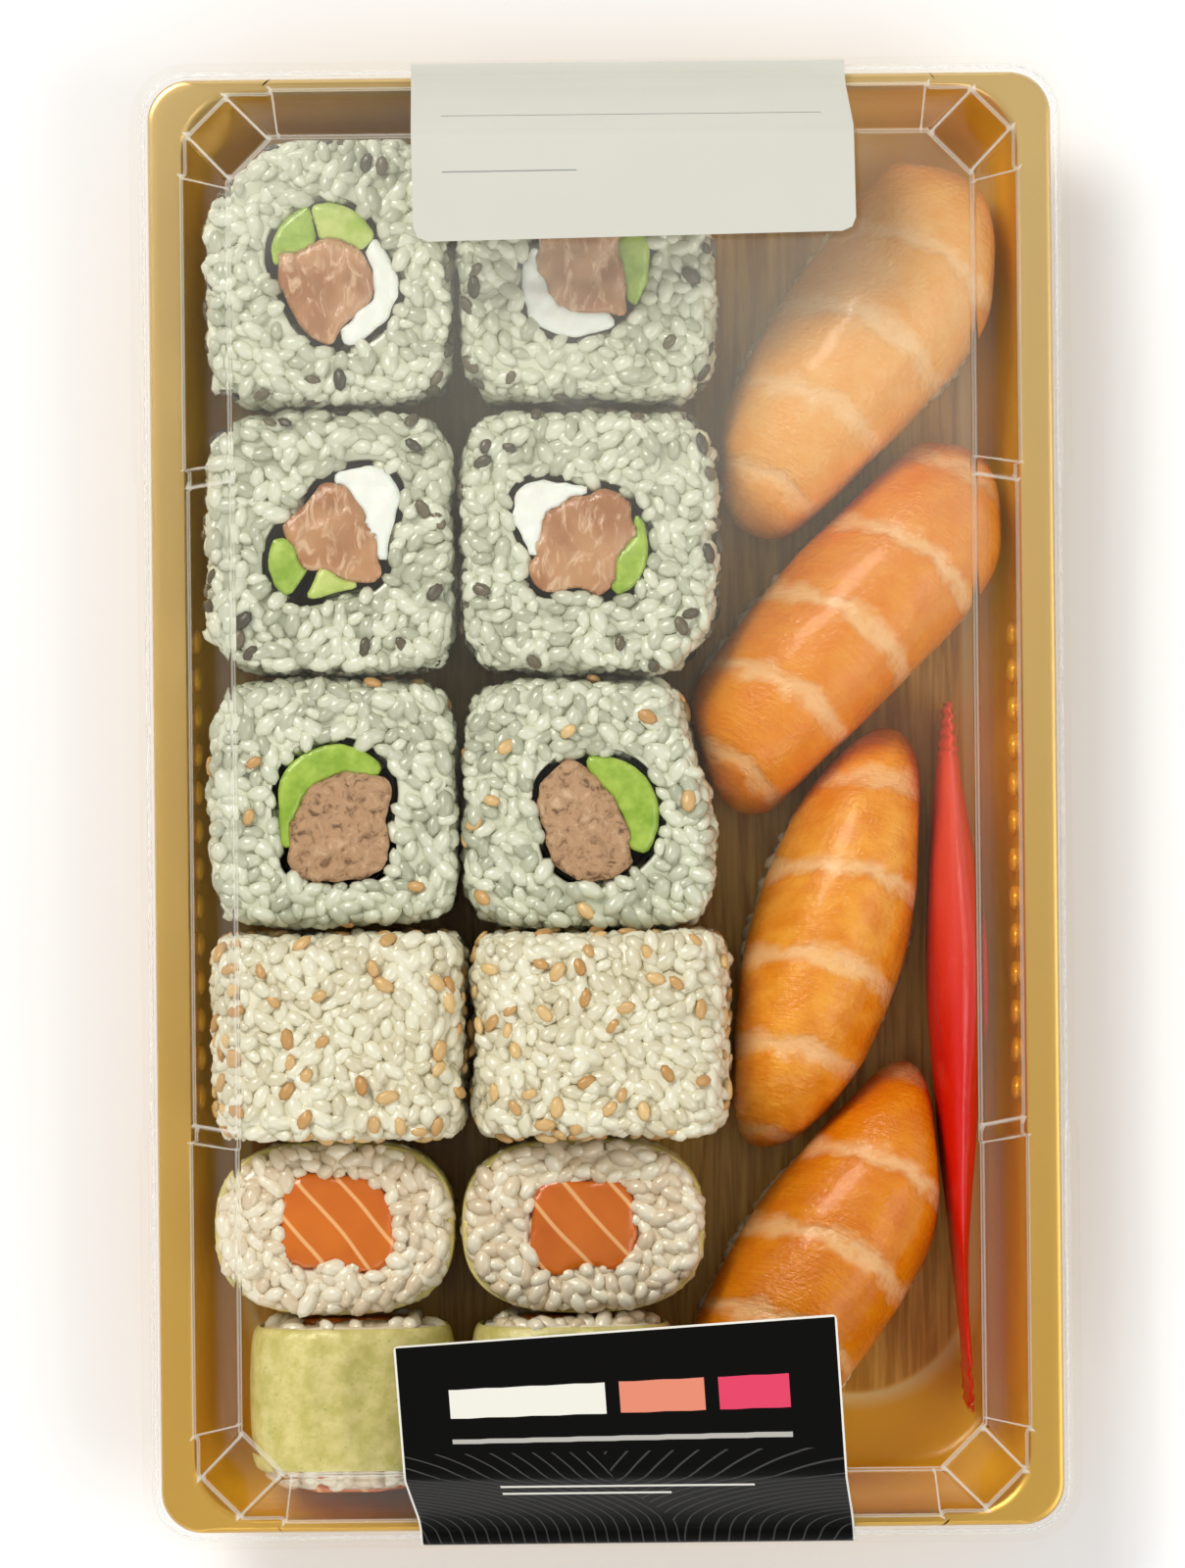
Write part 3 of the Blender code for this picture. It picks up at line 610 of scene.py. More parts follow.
fillings = {
    "salmon": {"material": makeSalmonFilling(), "slot": "salmon_filling", "relief": 0.5, "grain": 2.5},
    "cheese": {"material": makeCheese(), "slot": "cream_cheese", "relief": 0.9, "grain": 2.4},
    "avocado": {
        "material": makeAvocado("avocado", (0.42, 0.57, 0.08), (0.22, 0.37, 0.02)),
        "slot": "avocado",
        "relief": 0.3,
        "grain": 3.0,
    },
    "avocado_pale": {
        "material": makeAvocado("avocado_pale", (0.58, 0.66, 0.19), (0.36, 0.50, 0.06)),
        "slot": "avocado",
        "relief": 0.3,
        "grain": 3.0,
    },
    "tuna": {"material": makeTuna(), "slot": "tuna", "relief": 0.7, "grain": 1.8},
    "cut": {"material": makeSalmonCut(), "slot": "salmon_cut", "relief": 0.2, "grain": 3.5},
}
cutFace = {"voxel": 0.7, "depth": 2.0, "spread": 0.4, "sink": 0.1}


def fillingPiece(node, kind, seed):
    facts = fillings[kind]
    piece = addPiece(node + "_cut", copyOf(node, node + "_cut"), facts["material"], facts["slot"], node)
    remesh(piece, cutFace["voxel"])
    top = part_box(node)[1].z

    def rule(place, normal):
        shift = cutFace["spread"] if abs(normal.z) < 0.6 else -cutFace["sink"]
        rough = facts["relief"] * ripple(place, facts["grain"], seed)
        return nearTop(place, top, cutFace["depth"]) * (rough + shift)

    pushOut(piece, rule)


for seed, roll in enumerate(filledRolls):
    for node in cad:
        if node.startswith(roll) and not node.endswith(("rice", "nori")):
            fillingPiece(node, node[len(roll) + 1 :], seed * 3.1)
for seed, roll in enumerate(wrappedRolls):
    fillingPiece(f"{roll}_salmon", "cut", seed * 2.3)
print("fillings done")


# Nori and the green wraps


def makeNori():
    made, tree, shader = newMaterial("nori", (0.012, 0.016, 0.009), 0.38, Coat_Weight=0.2)
    weave = cloud(tree, placed(tree), 1100.0, 4.0, 0.7)
    giveColour(tree, shader, blendColour(tree, weave, (0.006, 0.007, 0.004), (0.035, 0.042, 0.022)))
    giveBump(tree, shader, weave, 0.0003, 0.7)
    return made


def makeWrap():
    made, tree, shader = newMaterial("green_wrap", (0.62, 0.60, 0.22), 0.38)
    mottle = cloud(tree, placed(tree), 330.0, 5.0, 0.65)
    specks = smooth(tree, cloud(tree, placed(tree), 1300.0, 2.0), 0.62, 0.75)
    colour = blendColour(tree, smooth(tree, mottle, 0.3, 0.7), (0.57, 0.50, 0.13), (0.78, 0.67, 0.27))
    giveColour(tree, shader, blendColour(tree, product(tree, specks, 0.5), colour, (0.34, 0.38, 0.06)))
    giveBump(tree, shader, mottle, 0.0005, 0.5)
    return made


sheets = {
    "nori": {"material": makeNori(), "slot": "nori", "relief": 1.2, "grain": 3.4, "depth": 3.0},
    "wrap": {"material": makeWrap(), "slot": "green_wrap", "relief": 0.8, "grain": 3.4, "depth": 3.0},
}


def sheetPiece(node, kind, sunk, seed):
    facts = sheets[kind]
    mesh = copyOf(node, node + "_sheet", quads=True)
    piece = addPiece(node + "_sheet", mesh, facts["material"], facts["slot"], node)
    subdivide(piece, 2)
    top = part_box(node)[1].z
    for vertex in piece.data.vertices:
        rough = facts["relief"] * ripple(vertex.co, facts["grain"], seed)
        vertex.co.z += nearTop(vertex.co, top, facts["depth"]) * mm * (rough - sunk)
    shadeSoft(piece, angle=50)


for seed, roll in enumerate(filledRolls):
    sheetPiece(f"{roll}_nori", "nori", 1.5, seed * 1.3)
for seed, roll in enumerate(wrappedRolls):
    sheetPiece(f"{roll}_wrap", "wrap", 2.9 if roll in rollsOf(5) else 0.3, seed * 1.9)
print("sheets done")


# Nigiri slices: the bands of fat follow a map laid along and across each slice, and lie in grooves

nigiriSlices = {
    "nigiri_1": {
        "middle": (37.2, 64.6),
        "angle": 54.0,
        "shift": 2.0,
        "body": (0.90, 0.44, 0.11),
        "deep": (0.88, 0.37, 0.06),
    },
    "nigiri_2": {
        "middle": (35.6, 24.8),
        "angle": 48.0,
        "shift": 5.0,
        "body": (0.84, 0.29, 0.012),
        "deep": (0.80, 0.22, 0.003),
    },
    "nigiri_3": {
        "middle": (32.0, -20.2),
        "angle": 70.0,
        "shift": 9.0,
        "body": (0.92, 0.37, 0.03),
        "deep": (0.78, 0.23, 0.004),
    },
    "nigiri_4": {
        "middle": (31.8, -65.6),
        "angle": 57.0,
        "shift": 4.0,
        "body": (0.81, 0.25, 0.003),
        "deep": (0.72, 0.18, 0.002),
    },
}
fatBands = {"pitch": 13.6, "width": 2.0, "bow": 0.026, "lean": 0.12}
grooves = {"width": 1.6, "depth": 0.28}
sliceSwell = {"height": 0.25, "size": 6.0}


def makeSlice(name, facts):
    made, tree, shader = newMaterial(
        name,
        facts["body"],
        0.2,
        Subsurface_Weight=0.15,
        Subsurface_Scale=0.004,
        Subsurface_Radius=(1.0, 0.45, 0.2),
        Coat_Weight=0.15,
        Coat_Roughness=0.1,
        Specular_IOR_Level=0.35,
    )
    along = put(tree, "ShaderNodeUVMap", uv_map="slice").outputs[0]
    wobble = calc(tree, "SUBTRACT", product(tree, cloud(tree, along, 3.5, 2.0), 0.4), 0.2)
    phase = calc(tree, "FRACT", calc(tree, "ADD", axes(tree, along)[0], wobble))
    away = calc(tree, "ABSOLUTE", calc(tree, "SUBTRACT", phase, 0.5))
    half = fatBands["width"] / fatBands["pitch"] / 2
    fat = invert(tree, smooth(tree, away, half * 0.15, half * 2.3))
    fibres = cloud(tree, moved(tree, along, Scale=(34.0, 2.6, 1.0)), 1.0, 4.0, 0.6, 0.4)
    patches = cloud(tree, along, 3.2, 3.0)
    wet = cloud(tree, along, 19.0, 2.0)
    colour = blendColour(tree, smooth(tree, patches, 0.3, 0.7), facts["deep"], facts["body"])
    threads = product(tree, smooth(tree, fibres, 0.45, 0.75), 0.25)
    colour = blendColour(tree, threads, colour, (0.92, 0.42, 0.03))
    giveColour(tree, shader, blendColour(tree, product(tree, fat, 0.68), colour, (0.95, 0.59, 0.28)))
    height = calc(tree, "ADD", product(tree, fibres, 0.35), product(tree, fat, -0.5))
    giveBump(tree, shader, calc(tree, "ADD", height, product(tree, wet, 0.6)), 0.0007, 0.8)
    return made


def slicePiece(name, facts):
    node = f"{name}_salmon"
    mesh = copyOf(node, node + "_slice", quads=True)
    piece = addPiece(node + "_slice", mesh, makeSlice(node, facts), "salmon_slice", node)
    subdivide(piece, 3)
    angle = math.radians(facts["angle"])
    along = Vector((math.cos(angle), math.sin(angle)))
    across = Vector((-along.y, along.x))

    def mapped(place):
        flat = place.to_2d() / mm - Vector(facts["middle"])
        v = flat.dot(across)
        u = flat.dot(along) + facts["shift"] + fatBands["bow"] * v * v + fatBands["lean"] * v
        return u / fatBands["pitch"], v / fatBands["pitch"]

    mesh = piece.data
    places = [mapped(vertex.co) for vertex in mesh.vertices]
    layer = mesh.uv_layers.new(name="slice")
    for loop in mesh.loops:
        layer.data[loop.index].uv = places[loop.vertex_index]

    def rule(place, normal):
        fromBand = (mapped(place)[0] % 1.0 - 0.5) * fatBands["pitch"]
        groove = grooves["depth"] * math.exp(-((fromBand / grooves["width"]) ** 2))
        swell = sliceSwell["height"] * ripple(place, sliceSwell["size"], facts["shift"])
        return swell - groove * max(0.0, normal.z)

    pushOut(piece, rule)
    shadeSoft(piece)


for name, facts in nigiriSlices.items():
    slicePiece(name, facts)
print("nigiri done")


# Tray: a shell lofted from the rim's outside inwards and down to the floor. Each section is half its
# width, half its length, its corner radius and its height.

tray = {
    "sections": [
        (65.2, 104.9, 6.0, 17.8),
        (65.15, 104.85, 6.0, 19.0),
        (64.9, 104.6, 6.0, 19.75),
        (64.3, 104.2, 6.0, 20.0),
        (63.3, 104.0, 7.0, 19.9),
        (61.2, 103.4, 8.4, 19.9),
        (60.35, 103.1, 9.0, 19.75),
        (60.0, 102.6, 9.1, 19.2),
        (59.1, 101.1, 10.5, 12.0),
        (58.2, 99.6, 12.0, 6.0),
        (57.5, 98.6, 12.4, 3.2),
        (56.8, 97.6, 12.8, 1.6),
        (55.6, 96.2, 13.0, 0.8),
        (54.2, 94.8, 13.4, 0.6),
        (50.0, 90.6, 13.8, 0.6),
    ],
    "cornerSteps": 12,
    "sheet": 0.6,
    "wood": {"half": (52.5, 87.0), "corner": 17.0, "highlightBand": 3.0},
    "floorFade": (0.8, 2.4),
    "rimFade": (16.5, 19.5),
    "bumps": {"out": 59.0, "first": 24.0, "pitch": 5.5, "count": 13, "height": 12.0, "size": (0.9, 1.9, 2.6)},
}


def mirrored(quarter):
    outline = list(quarter)
    outline += [(-x, y) for x, y in reversed(quarter)]
    outline += [(-x, -y) for x, y in quarter]
    outline += [(x, -y) for x, y in reversed(quarter)]
    return outline


def roundedCorner(halfX, halfY, radius, steps):
    places = []
    for step in range(steps + 1):
        angle = math.pi / 2 * step / steps
        places.append((halfX - radius + radius * math.cos(angle), halfY - radius + radius * math.sin(angle)))
    return places


def makeGold():
    made, tree, shader = newMaterial(
        "gold_tray", (0.66, 0.44, 0.15), 0.27, Metallic=0.3, Specular_IOR_Level=0.3
    )
    where = placed(tree)
    x, y, z = axes(tree, where)
    # The wood print ends in a rounded outline, with a painted highlight line just past it, along the bend
    # from floor to wall, standing in for the gold's shine there
    wood, corner = tray["wood"], tray["wood"]["corner"]
    beyond = []
    for place, half in zip((x, y), wood["half"]):
        fromStraight = calc(tree, "SUBTRACT", calc(tree, "ABSOLUTE", place), (half - corner) * mm)
        beyond.append(calc(tree, "MAXIMUM", fromStraight, 0.0))
    out = hypotenuse(tree, *beyond)
    past = smooth(tree, out, (corner - 0.8) * mm, (corner + 0.4) * mm)
    # Painted highlight: a band a few millimetres wide just past the wood print, blended to pale gold below
    highlightBand = product(tree, past, invert(tree, smooth(tree, out, corner * mm, (corner + wood["highlightBand"]) * mm)))
    # The outside and the underside are plain gold: there the surface looks away from a point over the floor
    facing = put(tree, "ShaderNodeNewGeometry").outputs["Normal"]
    fromAbove = moved(tree, where, Location=(0.0, 0.0, -0.03))
    dot = put(tree, "ShaderNodeVectorMath", {0: fromAbove, 1: facing}, operation="DOT_PRODUCT")
    away = dot.outputs["Value"]
    outer = calc(tree, "GREATER_THAN", away, 0.0)
    low = invert(tree, smooth(tree, z, *[height * mm for height in tray["floorFade"]]))
    low = product(tree, low, calc(tree, "LESS_THAN", away, 0.0))
    floor = product(tree, low, invert(tree, past))
    grain = cloud(tree, placed(tree, (1.0, 0.05, 1.0)), 700.0, 3.0, 0.65, 0.3)
    planks = blendColour(tree, smooth(tree, grain, 0.35, 0.65), (0.56, 0.28, 0.02), (0.88, 0.56, 0.12))
    rim = blendColour(tree, smooth(tree, y, -0.11, 0.1), (0.68, 0.40, 0.08), (0.72, 0.50, 0.2))
    plain = calc(tree, "MAXIMUM", smooth(tree, z, *[height * mm for height in tray["rimFade"]]), outer)
    gold = blendColour(tree, plain, (0.88, 0.49, 0.03), rim)
    gold = blendColour(tree, product(tree, product(tree, highlightBand, low), 0.9), gold, (0.96, 0.80, 0.36))
    giveColour(tree, shader, blendColour(tree, floor, gold, planks))
    tree.links.new(product(tree, smooth(tree, z, 0.006, 0.0195), 0.5), shader.inputs["Metallic"])
    giveBump(tree, shader, product(tree, grain, floor), 0.0002, 0.6)
    return made


def addBumps(piece):
    bumps = tray["bumps"]
    shape = bmesh.new()
    shape.from_mesh(piece.data)
    for side in (-1, 1):
        for k in range(bumps["count"]):
            made = bmesh.ops.create_uvsphere(shape, u_segments=12, v_segments=8, radius=1.0)["verts"]
            middle = (side * bumps["out"], bumps["first"] - bumps["pitch"] * k, bumps["height"])
            for vertex in made:
                vertex.co = Vector([(middle[i] + vertex.co[i] * bumps["size"][i]) * mm for i in range(3)])
                for face in vertex.link_faces:
                    face.smooth = True
    shape.to_mesh(piece.data)
    shape.free()


def trayPiece():
    points = []
    for halfX, halfY, radius, height in tray["sections"]:
        outline = mirrored(roundedCorner(halfX, halfY, radius, tray["cornerSteps"]))
        points += [(x, y, height) for x, y in outline]
    count = len(outline)
    faces = loftFaces(len(tray["sections"]), count)
    faces.append(tuple(range(len(points) - count, len(points))))
    piece = addPiece("tray_shell", makeMesh("tray_shell", points, faces), makeGold(), "gold_plastic", "tray")
    faceUp(piece)
    thicken(piece, tray["sheet"])
    shadeSoft(piece, angle=40)
    steadyNormals(piece)
    addBumps(piece)


trayPiece()
print("tray done")


# Lid: an octagonal dome whose side panels stand a little proud of the corner facets, on a flange with
# a skirt. Every horizontal edge is rounded by extra sections.

lid = {
    "top": {"half": (52.85, 94.75), "z": 46.0, "step": 0.0, "relief": 0.25},
    "foot": {"half": (60.4, 103.3), "z": 20.9, "step": 0.6, "relief": 1.0},
    "creaseTop": (45.4, 87.3),
    "creaseFoot": (47.2, 90.7),
    "cut": 6.4,
    "rib": {"y": 47.0, "width": 2.8, "depth": 0.8, "waist": 0.55},
    "skirt": (66.1, 105.8),
    "outer": (68.0, 107.5, 8.5),
    "film": 0.5,
    "rounding": 1.1,
    # Rings and columns of points along the creases that carry the painted highlight lines
    "creaseHighlightRings": (3, 7, 13),
    "creaseHighlightColumns": (2, 5, 8, 12, 16, 20),
    "breath": {"low": 44.8, "full": 45.3, "high": 45.75, "near": -20.0, "far": 100.0},
}


def domeOutline(share, inset):
    top, foot, rib = lid["top"], lid["foot"], lid["rib"]
    mix = [a + (b - a) * share for a, b in zip(top["half"], foot["half"])]
    halfX, halfY = mix[0] - inset, mix[1] - inset
    step = top["step"] + (foot["step"] - top["step"]) * share
    relief = top["relief"] + (foot["relief"] - top["relief"]) * share
    creaseX, creaseY = [a + (b - a) * share for a, b in zip(lid["creaseTop"], lid["creaseFoot"])]
    creaseX -= inset
    creaseY -= inset
    low, high = rib["y"] - rib["width"] / 2, rib["y"] + rib["width"] / 2
    depth, waist = rib["depth"] * relief, rib["waist"] * relief
    quarter = [
        (halfX - waist, low - 0.25),
        (halfX - waist - 0.05, low),
        (halfX - depth, low + 0.3),
        (halfX - depth, rib["y"]),
        (halfX - depth, high - 0.3),
        (halfX - 0.05, high),
        (halfX, high + 0.25),
        (halfX, creaseY - 0.35),
        (halfX - 0.06 * step, creaseY),
        (halfX - 0.85 * step, creaseY + 0.35),
        (halfX - step, creaseY + 0.8),
    ]
    cut = lid["cut"]
    corner = [(halfX - step, halfY - step - cut), (halfX - step - cut, halfY - step)]
    for k in (0.0, 0.06, 0.14, 0.5, 0.86, 0.94, 1.0):
        quarter.append(tuple(a + (b - a) * k for a, b in zip(*corner)))
    quarter += [
        (creaseX + 0.8, halfY - step),
        (creaseX + 0.35, halfY - 0.85 * step),
        (creaseX, halfY - 0.06 * step),
        (creaseX - 0.35, halfY),
    ]
    return mirrored(quarter)


def flangeOutline(halfX, halfY, radius, waist):
    rib = lid["rib"]
    low, high = rib["y"] - rib["width"] / 2, rib["y"] + rib["width"] / 2
    creaseX, creaseY = lid["creaseFoot"]
    quarter = [(halfX - waist, low - 0.25), (halfX - waist, low), (halfX - waist, low + 0.6)]
    quarter += [(halfX - waist * 0.5, rib["y"]), (halfX, high - 0.3), (halfX, high), (halfX, high + 0.25)]
    quarter += [(halfX, creaseY + shift) for shift in (-0.4, 0.0, 0.4, 0.8)]
    quarter += roundedCorner(halfX, halfY, radius, 6)
    quarter += [(creaseX + shift, halfY) for shift in (0.8, 0.35, 0.0, -0.35)]
    return mirrored(quarter)


# Clear film with painted highlight lines along its creases, drawn with a milky white shader, and breath under
# its top panel that is thickest at the far end


def makeClear():
    made, tree, shader = newMaterial(
        "clear_lid", (0.98, 0.98, 0.97), 0.035, Transmission_Weight=1.0, IOR=1.04
    )
    where = placed(tree)
    x, y, z = axes(tree, where)
    giveBump(tree, shader, cloud(tree, where, 26.0, 1.0), 0.0006, 0.25)
    breath = {name: value * mm for name, value in lid["breath"].items()}
    under = smooth(tree, z, breath["low"], breath["full"])
    under = product(tree, under, calc(tree, "LESS_THAN", z, breath["high"]))
    side = smooth(tree, calc(tree, "ADD", y, product(tree, x, 0.25)), breath["near"], breath["far"])
    patches = smooth(tree, cloud(tree, placed(tree, (1.0, 0.6, 1.0)), 34.0, 3.0, 0.6, 0.6), 0.25, 0.75)
    fog = product(tree, side, calc(tree, "ADD", product(tree, patches, 0.12), 0.1))
    # Painted highlight: points marked along the creases take the milky white shader, standing in for light
    # caught at the film's bends; the same shader also draws the breath
    line = put(tree, "ShaderNodeAttribute", attribute_name="crease_highlight").outputs["Fac"]
    creases = product(tree, smooth(tree, line, 0.45, 1.0), 0.42)
    share = calc(tree, "MAXIMUM", creases, product(tree, fog, under))
    breathAndHighlight = put(tree, "ShaderNodeBsdfPrincipled", {"Base Color": (0.86, 0.83, 0.72, 1.0), "Roughness": 0.6})
    film = put(tree, "ShaderNodeMixShader", {0: share, 1: shader.outputs[0], 2: breathAndHighlight.outputs[0]})
    # Light passes straight through, so that the food is lit as if the lid weren't there
    passing = put(tree, "ShaderNodeBsdfTransparent", {"Color": (0.97, 0.97, 0.96, 1.0)})
    rays = put(tree, "ShaderNodeLightPath").outputs
    through = calc(tree, "MAXIMUM", rays["Is Shadow Ray"], rays["Is Diffuse Ray"])
    choose = put(tree, "ShaderNodeMixShader", {0: through, 1: film.outputs[0], 2: passing.outputs[0]})
    tree.links.new(choose.outputs[0], tree.nodes["Material Output"].inputs["Surface"])
    return made


def lidPiece():
    top, foot = lid["top"]["z"], lid["foot"]["z"]
    r = lid["rounding"]
    skirtX, skirtY = lid["skirt"]
    outerX, outerY, outerRadius = lid["outer"]
    rings = [
        (domeOutline(0.0, r + 6.0), top),
        (domeOutline(0.0, r), top),
        (domeOutline(0.0, r * 0.45), top - r * 0.12),
        (domeOutline(0.0, r * 0.12), top - r * 0.5),
        (domeOutline(0.06, 0.0), top - 0.06 * (top - foot)),
        (domeOutline(0.5, 0.0), (top + foot) / 2),
        (domeOutline(0.94, 0.0), foot + 0.06 * (top - foot)),
        (domeOutline(0.985, -0.1), foot + 0.5),
        (domeOutline(1.0, -0.45), foot + 0.1),
        (domeOutline(1.0, -1.0), foot),
        (flangeOutline(skirtX - 0.9, skirtY - 0.9, 6.0, 0.0), foot),
        (flangeOutline(skirtX - 0.25, skirtY - 0.25, 6.6, 0.0), foot - 0.2),
        (flangeOutline(skirtX, skirtY, 6.8, 0.0), foot - 0.8),
        (flangeOutline(skirtX + 0.45, skirtY + 0.45, 7.3, 0.2), foot - 3.4),
        (flangeOutline(skirtX + 0.75, skirtY + 0.7, 7.6, 0.4), foot - 3.9),
        (flangeOutline(outerX, outerY, outerRadius, 0.6), foot - 4.4),
    ]
    points = []
    # Points on the listed rings and columns along the creases are marked for the painted highlight lines
    highlightMarks = []
    count = len(rings[0][0])
    half = count // 2
    columns = [min(k % half, half - 1 - k % half) for k in range(count)]
    for k, (outline, height) in enumerate(rings):
        points += [(x, y, height) for x, y in outline]
        across = k in lid["creaseHighlightRings"]
        along = 4 <= k <= 8
        highlightMarks += [float(across or (along and column in lid["creaseHighlightColumns"])) for column in columns]
    faces = loftFaces(len(rings), count)
    faces.append(tuple(range(count)))
    mesh = makeMesh("lid_shell", points, faces, highlightMarks)
    piece = addPiece("lid_shell", mesh, makeClear(), "clear_film", "lid")
    faceUp(piece)
    thicken(piece, lid["film"], even=False)
    shadeSoft(piece, angle=35)
    steadyNormals(piece)


lidPiece()
print("lid done")


# Labels, folded over the ends. Their map is in millimetres across and along the sheet, and each field
# of colour is given as left, right, low and high on it, with its ink. The black one also carries two
# sets of plain arcs about points past its edges.

cream = (0.80, 0.78, 0.70)
labels = {
    "label_white": {
        "end": 1,
        "middle": 4.9,
        "start": 79.9,
        "width": 62.5,
        "tilt": 0.9,
        "corner": 2.0,
        "material": "white_label",
        "slot": "white_paper",
        "paper": (0.64, 0.635, 0.555),
        "shine": 0.4,
        "fields": [
            ((-27.0, 27.0, 22.6, 22.9), (0.10, 0.10, 0.10)),
            ((-27.0, -8.0, 9.4, 9.6), (0.3, 0.3, 0.3)),
        ],
        "arcs": [],
    },
    "label_black": {
        "end": -1,
        "middle": 0.45,
        "start": 74.4,
        "width": 62.6,
        "tilt": 3.6,
        "corner": 0.6,
        "material": "black_label",
        "slot": "black_paper",
        "paper": (0.003, 0.0028, 0.0025),
        "shine": 0.06,
        "fields": [
            ((-31.3, -31.0, 0.0, 60.0), cream),
            ((31.0, 31.3, 0.0, 60.0), cream),
            ((-31.3, 31.3, 0.0, 0.3), cream),
            ((-24.0, -2.0, 7.2, 11.6), cream),
            ((0.0, 12.0, 7.2, 11.6), (0.74, 0.25, 0.16)),
            ((14.0, 24.0, 7.2, 11.6), (0.72, 0.06, 0.13)),
            ((-24.0, 24.0, 14.8, 15.5), (0.45, 0.44, 0.40)),
            ((-18.0, 18.0, 24.5, 25.6), cream),
            ((-18.0, 6.0, 28.5, 29.6), cream),
        ],
        "arcs": [
            {"middle": -40.0, "pitch": 1.7, "side": "LESS_THAN"},
            {"middle": 34.0, "pitch": 2.1, "side": "GREATER_THAN"},
        ],
    },
}
arcLines = {
    "ink": (0.055, 0.055, 0.052),
    "along": 52.0,
    "from": 17.0,
    "share": 0.12,
    "lean": 0.3,
    "parting": -8.0,
}
labelPath = [(94.75, 46.0), (102.3, 23.9), (104.2, 20.9), (106.1, 20.9), (106.55, 17.4)]
labelSheet = {"thickness": 0.2, "gap": 0.32, "bend": 1.2, "slopeEnd": 16.0, "columns": 10}


def roundedPath(start):
    corners = [Vector((start, labelPath[0][1]))] + [Vector(place) for place in labelPath]
    path = [corners[0]]
    for before, here, after in zip(corners, corners[1:], corners[2:]):
        reach = min(labelSheet["bend"], (here - before).length / 2.2, (after - here).length / 2.2)
        a = here + (before - here).normalized() * reach
        b = here + (after - here).normalized() * reach
        for t in (0.0, 0.33, 0.67, 1.0):
            path.append(a * (1 - t) ** 2 + here * 2 * t * (1 - t) + b * t * t)
    path.append(corners[-1])
    return path


def insideBox(tree, u, v, box):
    left, right, low, high = box
    return product(tree, within(tree, u, left, right), within(tree, v, low, high))


def makeLabel(facts):
    paper = facts["paper"]
    made, tree, shader = newMaterial(facts["material"], paper, 0.5, Specular_IOR_Level=facts["shine"])
    u, v = axes(tree, put(tree, "ShaderNodeUVMap", uv_map="sheet").outputs[0])[:2]
    tone = cloud(tree, placed(tree), 90.0, 3.0)
    colour = blendColour(tree, tone, tuple(c * 0.95 for c in paper), paper)
    for arc in facts["arcs"]:
        fromMiddle = calc(tree, "SUBTRACT", u, arc["middle"])
        rings = hypotenuse(tree, fromMiddle, calc(tree, "SUBTRACT", v, arcLines["along"]))
        phase = calc(tree, "FRACT", calc(tree, "DIVIDE", rings, arc["pitch"]))
        line = calc(tree, "LESS_THAN", phase, arcLines["share"])
        leaning = calc(tree, "SUBTRACT", u, product(tree, v, arcLines["lean"]))
        side = calc(tree, arc["side"], leaning, arcLines["parting"])
        shown = product(tree, calc(tree, "GREATER_THAN", v, arcLines["from"]), side)
        colour = blendColour(tree, product(tree, line, shown), colour, arcLines["ink"])
    for box, ink in facts["fields"]:
        colour = blendColour(tree, insideBox(tree, u, v, box), colour, ink)
    giveColour(tree, shader, colour)
    giveBump(tree, shader, cloud(tree, placed(tree), 160.0, 4.0), 0.00015, 0.5)
    return made


def labelPiece(node, facts):
    path = roundedPath(facts["start"])
    corner = facts["corner"]
    path = [path[0]] + [path[0] + Vector((corner * k, 0.0)) for k in (0.3, 1.0)] + path[1:]
    lifted = []
    for k, place in enumerate(path):
        ahead = path[min(k + 1, len(path) - 1)] - path[max(k - 1, 0)]
        lifted.append(place + Vector((-ahead.y, ahead.x)).normalized() * labelSheet["gap"])
    lean = math.tan(math.radians(facts["tilt"]))
    end, half, across = facts["end"], facts["width"] / 2, labelSheet["columns"]
    points = []
    places = []
    run = 0.0
    for k, place in enumerate(lifted):
        run += (place - lifted[k - 1]).length if k else 0.0
        inset = corner * (1 - math.sqrt(max(0.0, 1 - (1 - min(1.0, run / corner)) ** 2)))
        for j in range(across + 1):
            sideways = (2 * j / across - 1) * (half - inset)
            slope = max(0.0, 1 - run / labelSheet["slopeEnd"]) * end * lean * sideways
            points.append((facts["middle"] + sideways - end * lean * run, end * (place.x + slope), place.y))
            places.append((sideways, run))
    faces = []
    for k in range(len(lifted) - 1):
        for j in range(across):
            first = k * (across + 1) + j
            faces.append((first, first + 1, first + across + 2, first + across + 1))
    mesh = bpy.data.meshes.new(node + "_sheet")
    mesh.from_pydata([Vector(point) * mm for point in points], [], faces)
    layer = mesh.uv_layers.new(name="sheet")
    for loop in mesh.loops:
        layer.data[loop.index].uv = places[loop.vertex_index]
    piece = addPiece(node + "_sheet", mesh, makeLabel(facts), facts["slot"], node)
    faceUp(piece)
    thicken(piece, labelSheet["thickness"], offset=1.0)
    shadeSoft(piece, angle=60)


for node, facts in labels.items():
    labelPiece(node, facts)
print("labels done")


# Sachet, with a row of fine ridges at each end

sachet = {"seal": 8.0, "ridge": {"height": 0.25, "pitch": 1.6}, "swell": {"height": 0.35, "size": 7.0}}


def makeRed():
    made, tree, shader = newMaterial(
        "red_film", (0.78, 0.035, 0.02), 0.3, Coat_Weight=0.15, Coat_Roughness=0.08, Specular_IOR_Level=0.35
    )
    y = axes(tree, placed(tree))[1]
    tone = blendColour(tree, smooth(tree, y, -0.045, 0.01), (0.66, 0.004, 0.001), (0.76, 0.085, 0.045))
    giveColour(tree, shader, tone)
    creases = cloud(tree, placed(tree, (1.0, 0.35, 1.0)), 160.0, 4.0, 0.6, 0.5)
    giveBump(tree, shader, creases, 0.0012, 0.5)
    return made


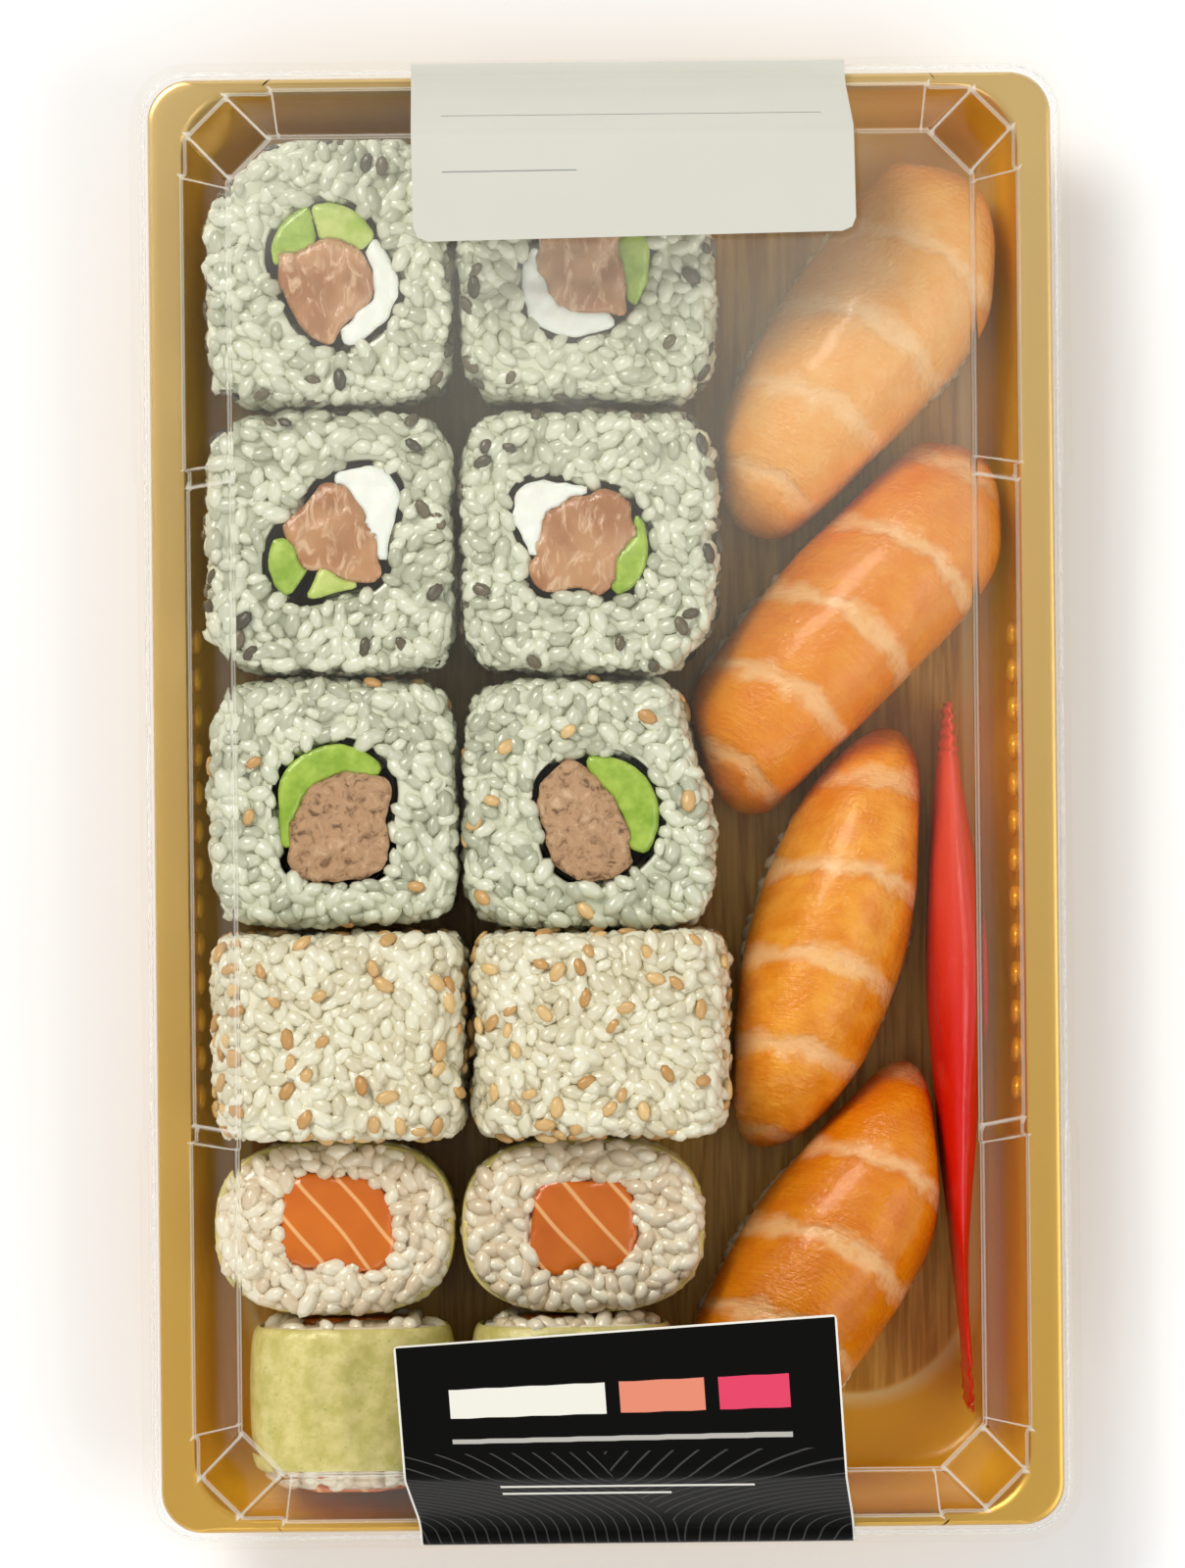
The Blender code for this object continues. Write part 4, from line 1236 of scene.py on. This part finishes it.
def sachetPiece():
    mesh = copyOf("sachet", "sachet_pouch", quads=True)
    piece = addPiece("sachet_pouch", mesh, makeRed(), "red_film", "sachet")
    subdivide(piece, 3)
    low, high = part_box("sachet")
    ridge, swell = sachet["ridge"], sachet["swell"]

    def rule(place, normal):
        fromEnd = min(place.y - low.y, high.y - place.y) / mm
        if fromEnd < sachet["seal"]:
            wave = ridge["height"] * math.sin(fromEnd * math.tau / ridge["pitch"])
            return wave if normal.x > 0 else -wave
        return swell["height"] * ripple((place.x, place.y * 0.5, place.z), swell["size"])

    pushOut(piece, rule)
    shadeSoft(piece)


sachetPiece()
print("sachet done")


# Floor, light and camera

floorShape = {"half": 3.0, "height": -0.0002}


def makeFloor():
    made, tree, shader = newMaterial("floor", (0.96, 0.96, 0.96), 0.8)
    tone = cloud(tree, placed(tree), 8.0)
    giveColour(tree, shader, blendColour(tree, tone, (0.955, 0.955, 0.955), (0.965, 0.965, 0.965)))
    half, height = floorShape["half"], floorShape["height"]
    corners = [(x * half, y * half, height) for x, y in ((-1, -1), (1, -1), (1, 1), (-1, 1))]
    mesh = bpy.data.meshes.new("floor")
    mesh.from_pydata(corners, [], [(0, 1, 2, 3)])
    mesh.materials.append(made)
    floor = bpy.data.objects.new("floor", mesh)
    scene.collection.objects.link(floor)


def addLamp(name, place, aim, size, power, colour=(1.0, 1.0, 1.0)):
    data = bpy.data.lights.new(name, "AREA")
    data.shape = "RECTANGLE"
    data.size, data.size_y = size
    data.energy = power
    data.color = colour
    lamp = bpy.data.objects.new(name, data)
    lamp.location = place
    lamp.rotation_euler = (Vector(aim) - Vector(place)).to_track_quat("-Z", "Y").to_euler()
    scene.collection.objects.link(lamp)


makeFloor()
addLamp("key", (-0.9, 1.1, 1.5), (0, 0, 0), (0.9, 0.7), 23.0, (1.0, 0.985, 0.96))
addLamp("fill", (1.2, -0.5, 1.3), (0, 0, 0), (1.2, 1.0), 10.0)
addLamp("low", (-0.3, -1.5, 0.8), (0, 0, 0), (1.4, 0.6), 6.0)

world = bpy.data.worlds.new("world")
scene.world = world
world.use_nodes = True
background = world.node_tree.nodes["Background"]
background.inputs["Color"].default_value = (1.0, 1.0, 1.0, 1.0)
background.inputs["Strength"].default_value = 0.5

view = {"lens": 191.0, "sensor": 36.0, "place": (-1.9, 2.7, 1220.0), "roll": -0.6}
camera = bpy.data.objects.new("camera", bpy.data.cameras.new("camera"))
camera.data.lens = view["lens"]
camera.data.sensor_width = view["sensor"]
camera.data.sensor_fit = "AUTO"
camera.location = Vector(view["place"]) * mm
camera.rotation_euler = (0.0, 0.0, math.radians(view["roll"]))
scene.collection.objects.link(camera)
scene.camera = camera
